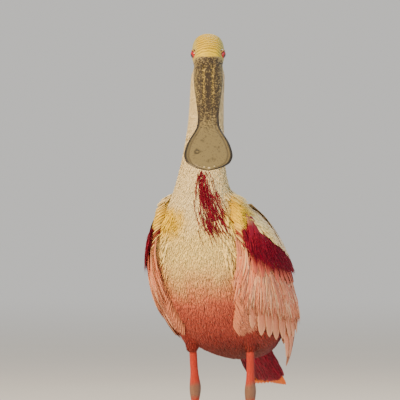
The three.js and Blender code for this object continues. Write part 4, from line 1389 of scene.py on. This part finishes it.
def mandible(upper):
    shape = Loft([(0, s, 0, w if upper else max(w - 0.7, 0), up, down) for s, w, up, down in billStations])
    rows = 210
    sides = 104
    share = np.linspace(0, 1, rows + 2)
    turn = np.linspace(0, 2 * np.pi, sides, endpoint=False)
    values, _ = shape.sample(share)
    s = values[:, 1][:, None]
    half = np.maximum(values[:, 3], 0)[:, None]
    depth = np.maximum(values[:, 4 if upper else 5], 0)[:, None]
    across = np.cos(turn)[None] * half
    rise = np.maximum(np.sin(turn), 0)[None] * np.maximum(depth - billLook["mouthGap"], 0)
    topShare = (np.sin(turn) > 0.02)[None]
    inside = half - np.abs(across)
    spoon = smooth(s, 96, 118)
    relief = np.zeros_like(rise)
    if upper:
        grooves = np.exp(-((np.abs(across) - billLook["grooveAt"]) / 1.1) ** 2) * smooth(s, 8, 20)
        relief -= 0.9 * grooves * (1 - smooth(s, 84, 108))
        relief -= 0.25 * smooth(-np.abs(across), -4, 0) * (1 - spoon)
        relief += 0.25 * softNoise(np.stack([across, s + 0 * across, 0 * across], -1), 5, 5) * (1 - spoon)
        relief -= billLook["nostril"]["depth"] * nostrilShare(across, s)
    relief -= 0.55 * np.exp(-((inside - 5.2) / 0.8) ** 2) * smooth(s, 60, 110)
    relief += 0.25 * np.exp(-((inside - 2.6) / 1.4) ** 2) * spoon
    rise = np.maximum(rise + relief * topShare * smooth(rise, 0.2, 1.0), 0)
    sign = 1 if upper else -1
    reach = s * (1 if upper else 0.994)
    grid = np.stack([across, -reach + np.zeros_like(across), sign * (billLook["mouthGap"] + rise)], -1)
    points, faces = closedBody(grid[0, 0], grid[1:-1], grid[-1, 0])
    if not upper:
        faces = flipped(faces)
    pointS = np.concatenate([[0], np.repeat(s[1:-1, 0], sides), [billLength]])
    pointX = points[:, 0]
    pointIn = np.concatenate([[0], inside[1:-1].ravel(), [0]])
    return points, faces, pointS, pointX, pointIn


def billColours(s, x, inside, upper):
    look = billLook
    away = np.abs(x)
    colour = mixed(look["tan"], look["spoon"], smooth(s, 78, 120))
    groove = np.exp(-((away - look["grooveAt"]) / 1.5) ** 2) * smooth(s, 6, 16) * (1 - smooth(s, 52, 80))
    colour = mixed(colour, look["groove"], 0.85 * groove)
    # painted shade: a dark line in the groove inside the spoon's rim
    colour = mixed(colour, look["rim"], 0.72 * np.exp(-((inside - 5.4) / 1.0) ** 2) * smooth(s, 90, 115))
    # painted shade: near black along the margins where the two mandibles meet
    colour = mixed(colour, look["edge"], (1 - smooth(inside, 1.9, 4.3)) * smooth(s, 50, 100) * 0.97)
    mottle = 0.37 + 0.15 * (1 - smooth(s, 72, 118)) + 0.03 * (1 - smooth(s, 104, 134))
    mottle -= 0.07 * groove + 0.06 * smooth(away, 10, 15) * (1 - smooth(s, 70, 100))
    mottle += 0.045 * np.exp(-(away / 3.4) ** 2) * smooth(s, 12, 36) * (1 - smooth(s, 72, 100))
    mottle -= 0.12 * (1 - smooth(s, 1, 7))
    if not upper:
        colour = mixed(colour, look["under"], 0.5)
        mottle = mottle - 0.1
    if upper:
        # painted shade: the nostril slits are dark inside
        colour = mixed(colour, look["edge"], 0.9 * nostrilShare(x, s))
        spot = look["ring"]
        ring = np.exp(-(np.hypot(x - spot["x"], s - spot["s"]) - spot["radius"]) ** 2)
        colour = mixed(colour, look["edge"], 0.9 * ring)
        random = np.random.default_rng(46)
        for _ in range(26):
            spotS = random.uniform(96, 156)
            spotX = random.uniform(-1, 1) * (3 + 0.3 * (spotS - 96))
            spotSize = random.uniform(0.5, 1.3)
            blot = np.exp(-(np.hypot((x - spotX) / spotSize, (s - spotS) / (1.5 * spotSize))) ** 2)
            colour = mixed(colour, look["edge"], 0.6 * blot)
    return colour, mottle


def makeBill():
    for name, upper in (("bill_upper", True), ("bill_lower", False)):
        points, faces, s, x, inside = mandible(upper)
        colour, mottle = billColours(s, x, inside, upper)
        label = "upperMandible" if upper else "lowerMandible"
        piece = meshPiece(
            label, fromBill(points), faces, billHorn, colours={"horn": colour},
            maps={"mottle": mottle},
        )
        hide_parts(name)
    # whitish nodules along the front of the spoon
    parts = []
    for i in range(billLook["nodules"]):
        x = -7 + 14 * i / (billLook["nodules"] - 1) + 0.4 * math.sin(i * 2.3)
        s = 164.6 - 0.045 * x * x
        size = 0.95 + 0.2 * math.sin(i * 1.7)
        points, faces = ball(np.array([x, -s, 1.0]), (size, size * 1.2, size * 0.9), 10, 14)
        parts.append((fromBill(points), faces))
    points, faces = stacked(parts)
    meshPiece("billNodules", points, faces, noduleHorn)


def ball(centre, radii, rows, sides):
    polar = np.linspace(0, np.pi, rows + 2)
    turn = np.linspace(0, 2 * np.pi, sides, endpoint=False)
    x = np.sin(polar[:, None]) * np.cos(turn)[None]
    y = np.sin(polar[:, None]) * np.sin(turn)[None]
    z = np.cos(polar)[:, None] + 0 * turn[None]
    grid = np.stack([x, y, z], -1) * np.array(radii) + centre
    points, faces = closedBody(grid[0, 0], grid[1:-1], grid[-1, 0])
    return points, flipped(faces)


makeBill()
print("bill ready")

eyeLook = {
    "iris": linear("#a3101c"), "rim": linear("#3d0508"), "pupil": linear("#050303"),
    "pupilEdge": (22, 26), "irisEdge": (48, 56),  # degrees from the middle of the gaze
    "turnForward": math.radians(34), "lid": linear("#b58a3c"), "lidRadius": 6.1, "lidHeight": 1.9,
}


def makeEyes():
    eye = pose["eye"]
    for name, side in (("left", 1), ("right", -1)):
        centre = np.array([side * eye["side"], -eye["forward"], eye["up"]])
        gaze = np.array([side * math.cos(eyeLook["turnForward"]), -math.sin(eyeLook["turnForward"]), 0.0])
        points, faces = ball(centre, (eye["radius"],) * 3, 40, 56)
        out = (points - centre) / eye["radius"]
        off = np.degrees(np.arccos(np.clip(out @ gaze, -1, 1)))
        colour = mixed(eyeLook["pupil"], eyeLook["iris"], smooth(off, *eyeLook["pupilEdge"]))
        colour = mixed(colour, eyeLook["rim"], smooth(off, *eyeLook["irisEdge"]))
        piece = meshPiece(
            f"eyeball_{name}", fromSkull(points), faces, wetEye, colours={"iris": colour},
        )
        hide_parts(f"eye_{name}")
        makeLid(name, centre, gaze)


def makeLid(name, centre, gaze):
    # a folded ring of skin round the eyeball, narrowed to front and back
    up = np.array([0.0, 0.0, 1.0])
    across = np.cross(up, gaze)
    rows = 96
    sides = 16
    turn = np.linspace(0, 2 * np.pi, rows, endpoint=False)[:, None]
    roll = np.linspace(0, 2 * np.pi, sides, endpoint=False)[None]
    radius = eyeLook["lidRadius"] + 0.25 * np.cos(2 * turn)
    tube = 0.85 + 0.1 * np.sin(11 * turn + 2 * roll)
    outwards = radius + tube * np.cos(roll)
    lift = eyeLook["lidHeight"] + tube * 0.9 * np.sin(roll) - 0.4 * np.cos(2 * turn)
    ring = centre + across * (np.cos(turn) * outwards)[..., None]
    ring = ring + up * (np.sin(turn) * outwards * 0.94)[..., None] + gaze * lift[..., None]
    grid = np.arange(rows * sides).reshape(rows, sides)
    afterRow = np.roll(grid, -1, axis=0)
    quads = np.stack([grid, afterRow, np.roll(afterRow, -1, 1), np.roll(grid, -1, 1)], -1).reshape(-1, 4)
    points = ring.reshape(-1, 3)
    zeros = np.zeros(len(points))
    meshPiece(
        f"lid_{name}", fromSkull(points), [quads], bareSkin,
        colours={"skin": eyeLook["lid"]}, maps={"crease": zeros, "scale": zeros},
    )


makeEyes()


def makeClaws():
    sunk = 1.5  # how far a claw's root lies inside its toe
    for name, leg in legPlans.items():
        for toeName, toe in toePlans.items():
            points, faces = closedLoft(clawLine(toe), 18, 28)
            points = fromToe(points + np.array([0, -toe["length"] + sunk, 0]), leg, toe)
            piece = meshPiece(f"horn_{name}_{toeName}", fromBody(points), faces, clawHorn)
            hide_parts(f"claw_{name}_{toeName}")


makeClaws()
print("claws ready")


# Floor, light and camera
stageLook = {
    "floor": "#dedad2", "floorPale": "#e3e0d9", "reach": 30, "glow": "#e6e4e0",
    "glowStrength": 0.85,  # of the even light from all round
}


def makeStage():
    look = stageLook
    material, tree, shader, place = newMaterial("paleFloor", {
        "Roughness": 0.9, "Base Color": rgba(look["floor"]),
    })
    grain = addNode(tree, "ShaderNodeTexNoise", inputs={"Vector": place, "Scale": 3.0})
    tone = addNode(tree, "ShaderNodeMix", {"data_type": "RGBA"}, {
        "Factor": grain.outputs["Fac"], "A": rgba(look["floor"]), "B": rgba(look["floorPale"]),
    })
    tree.links.new(tone.outputs["Result"], shader.inputs["Base Color"])
    # the floor fades into the light round it, from 2 m out to 9 m
    away = addNode(tree, "ShaderNodeVectorMath", {"operation": "LENGTH"}, {"Vector": place})
    fade = addNode(tree, "ShaderNodeMapRange", {"interpolation_type": "SMOOTHSTEP"}, {
        "Value": away.outputs["Value"], "From Min": 2.0, "From Max": 9.0,
    })
    glow = addNode(tree, "ShaderNodeEmission", inputs={
        "Color": rgba(look["glow"]), "Strength": look["glowStrength"],
    })
    blend = addNode(tree, "ShaderNodeMixShader", inputs={
        "Fac": fade.outputs["Result"], 1: shader.outputs["BSDF"], 2: glow.outputs["Emission"],
    })
    tree.links.new(blend.outputs["Shader"], tree.nodes["Material Output"].inputs["Surface"])
    mesh = bpy.data.meshes.new("floor")
    reach = look["reach"]
    corners = [(-reach, -reach, 0), (reach, -reach, 0), (reach, reach, 0), (-reach, reach, 0)]
    mesh.from_pydata(corners, [], [(0, 1, 2, 3)])
    mesh.materials.append(material)
    floor = bpy.data.objects.new("floor", mesh)
    bpy.context.collection.objects.link(floor)
    world = bpy.data.worlds.new("studio")
    bpy.context.scene.world = world
    world.use_nodes = True
    background = world.node_tree.nodes["Background"]
    background.inputs["Color"].default_value = rgba(look["glow"])
    background.inputs["Strength"].default_value = look["glowStrength"]


lightsAim = Vector((0, 0, 0.3))
studioLights = [
    {"name": "key", "place": (-1.7, -2.3, 1.7), "size": 0.9, "power": 185, "colour": "#ffd69c"},
    {"name": "fill", "place": (2.2, -1.8, 0.9), "size": 1.6, "power": 16, "colour": "#dfe8ff"},
    {"name": "top", "place": (0.3, 1.5, 2.2), "size": 1.4, "power": 30, "colour": "#fff4e4"},
]


def makeLights():
    for light in studioLights:
        data = bpy.data.lights.new(light["name"], "AREA")
        data.size = light["size"]
        data.energy = light["power"]
        data.color = tuple(linear(light["colour"]))
        lamp = bpy.data.objects.new(light["name"], data)
        lamp.location = light["place"]
        aim = lightsAim - Vector(light["place"])
        lamp.rotation_euler = aim.to_track_quat("-Z", "Y").to_euler()
        bpy.context.collection.objects.link(lamp)


# millimetres: x and distance from the body's own origin, height from the floor
cameraPlan = {"x": -25.8, "distance": 4500, "height": 341.6, "lens": 337.5, "sensor": 36}


def makeCamera():
    data = bpy.data.cameras.new("view")
    data.lens = cameraPlan["lens"]
    data.sensor_width = cameraPlan["sensor"]
    data.clip_end = 200
    camera = bpy.data.objects.new("view", data)
    camera.location = (
        (cameraPlan["x"] + bodyPlace[0]) / 1000, (-cameraPlan["distance"] + bodyPlace[1]) / 1000,
        cameraPlan["height"] / 1000,
    )
    camera.rotation_euler = (math.radians(90), 0, 0)
    bpy.context.collection.objects.link(camera)
    bpy.context.scene.camera = camera


makeStage()
makeLights()
makeCamera()

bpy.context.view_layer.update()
print("done")
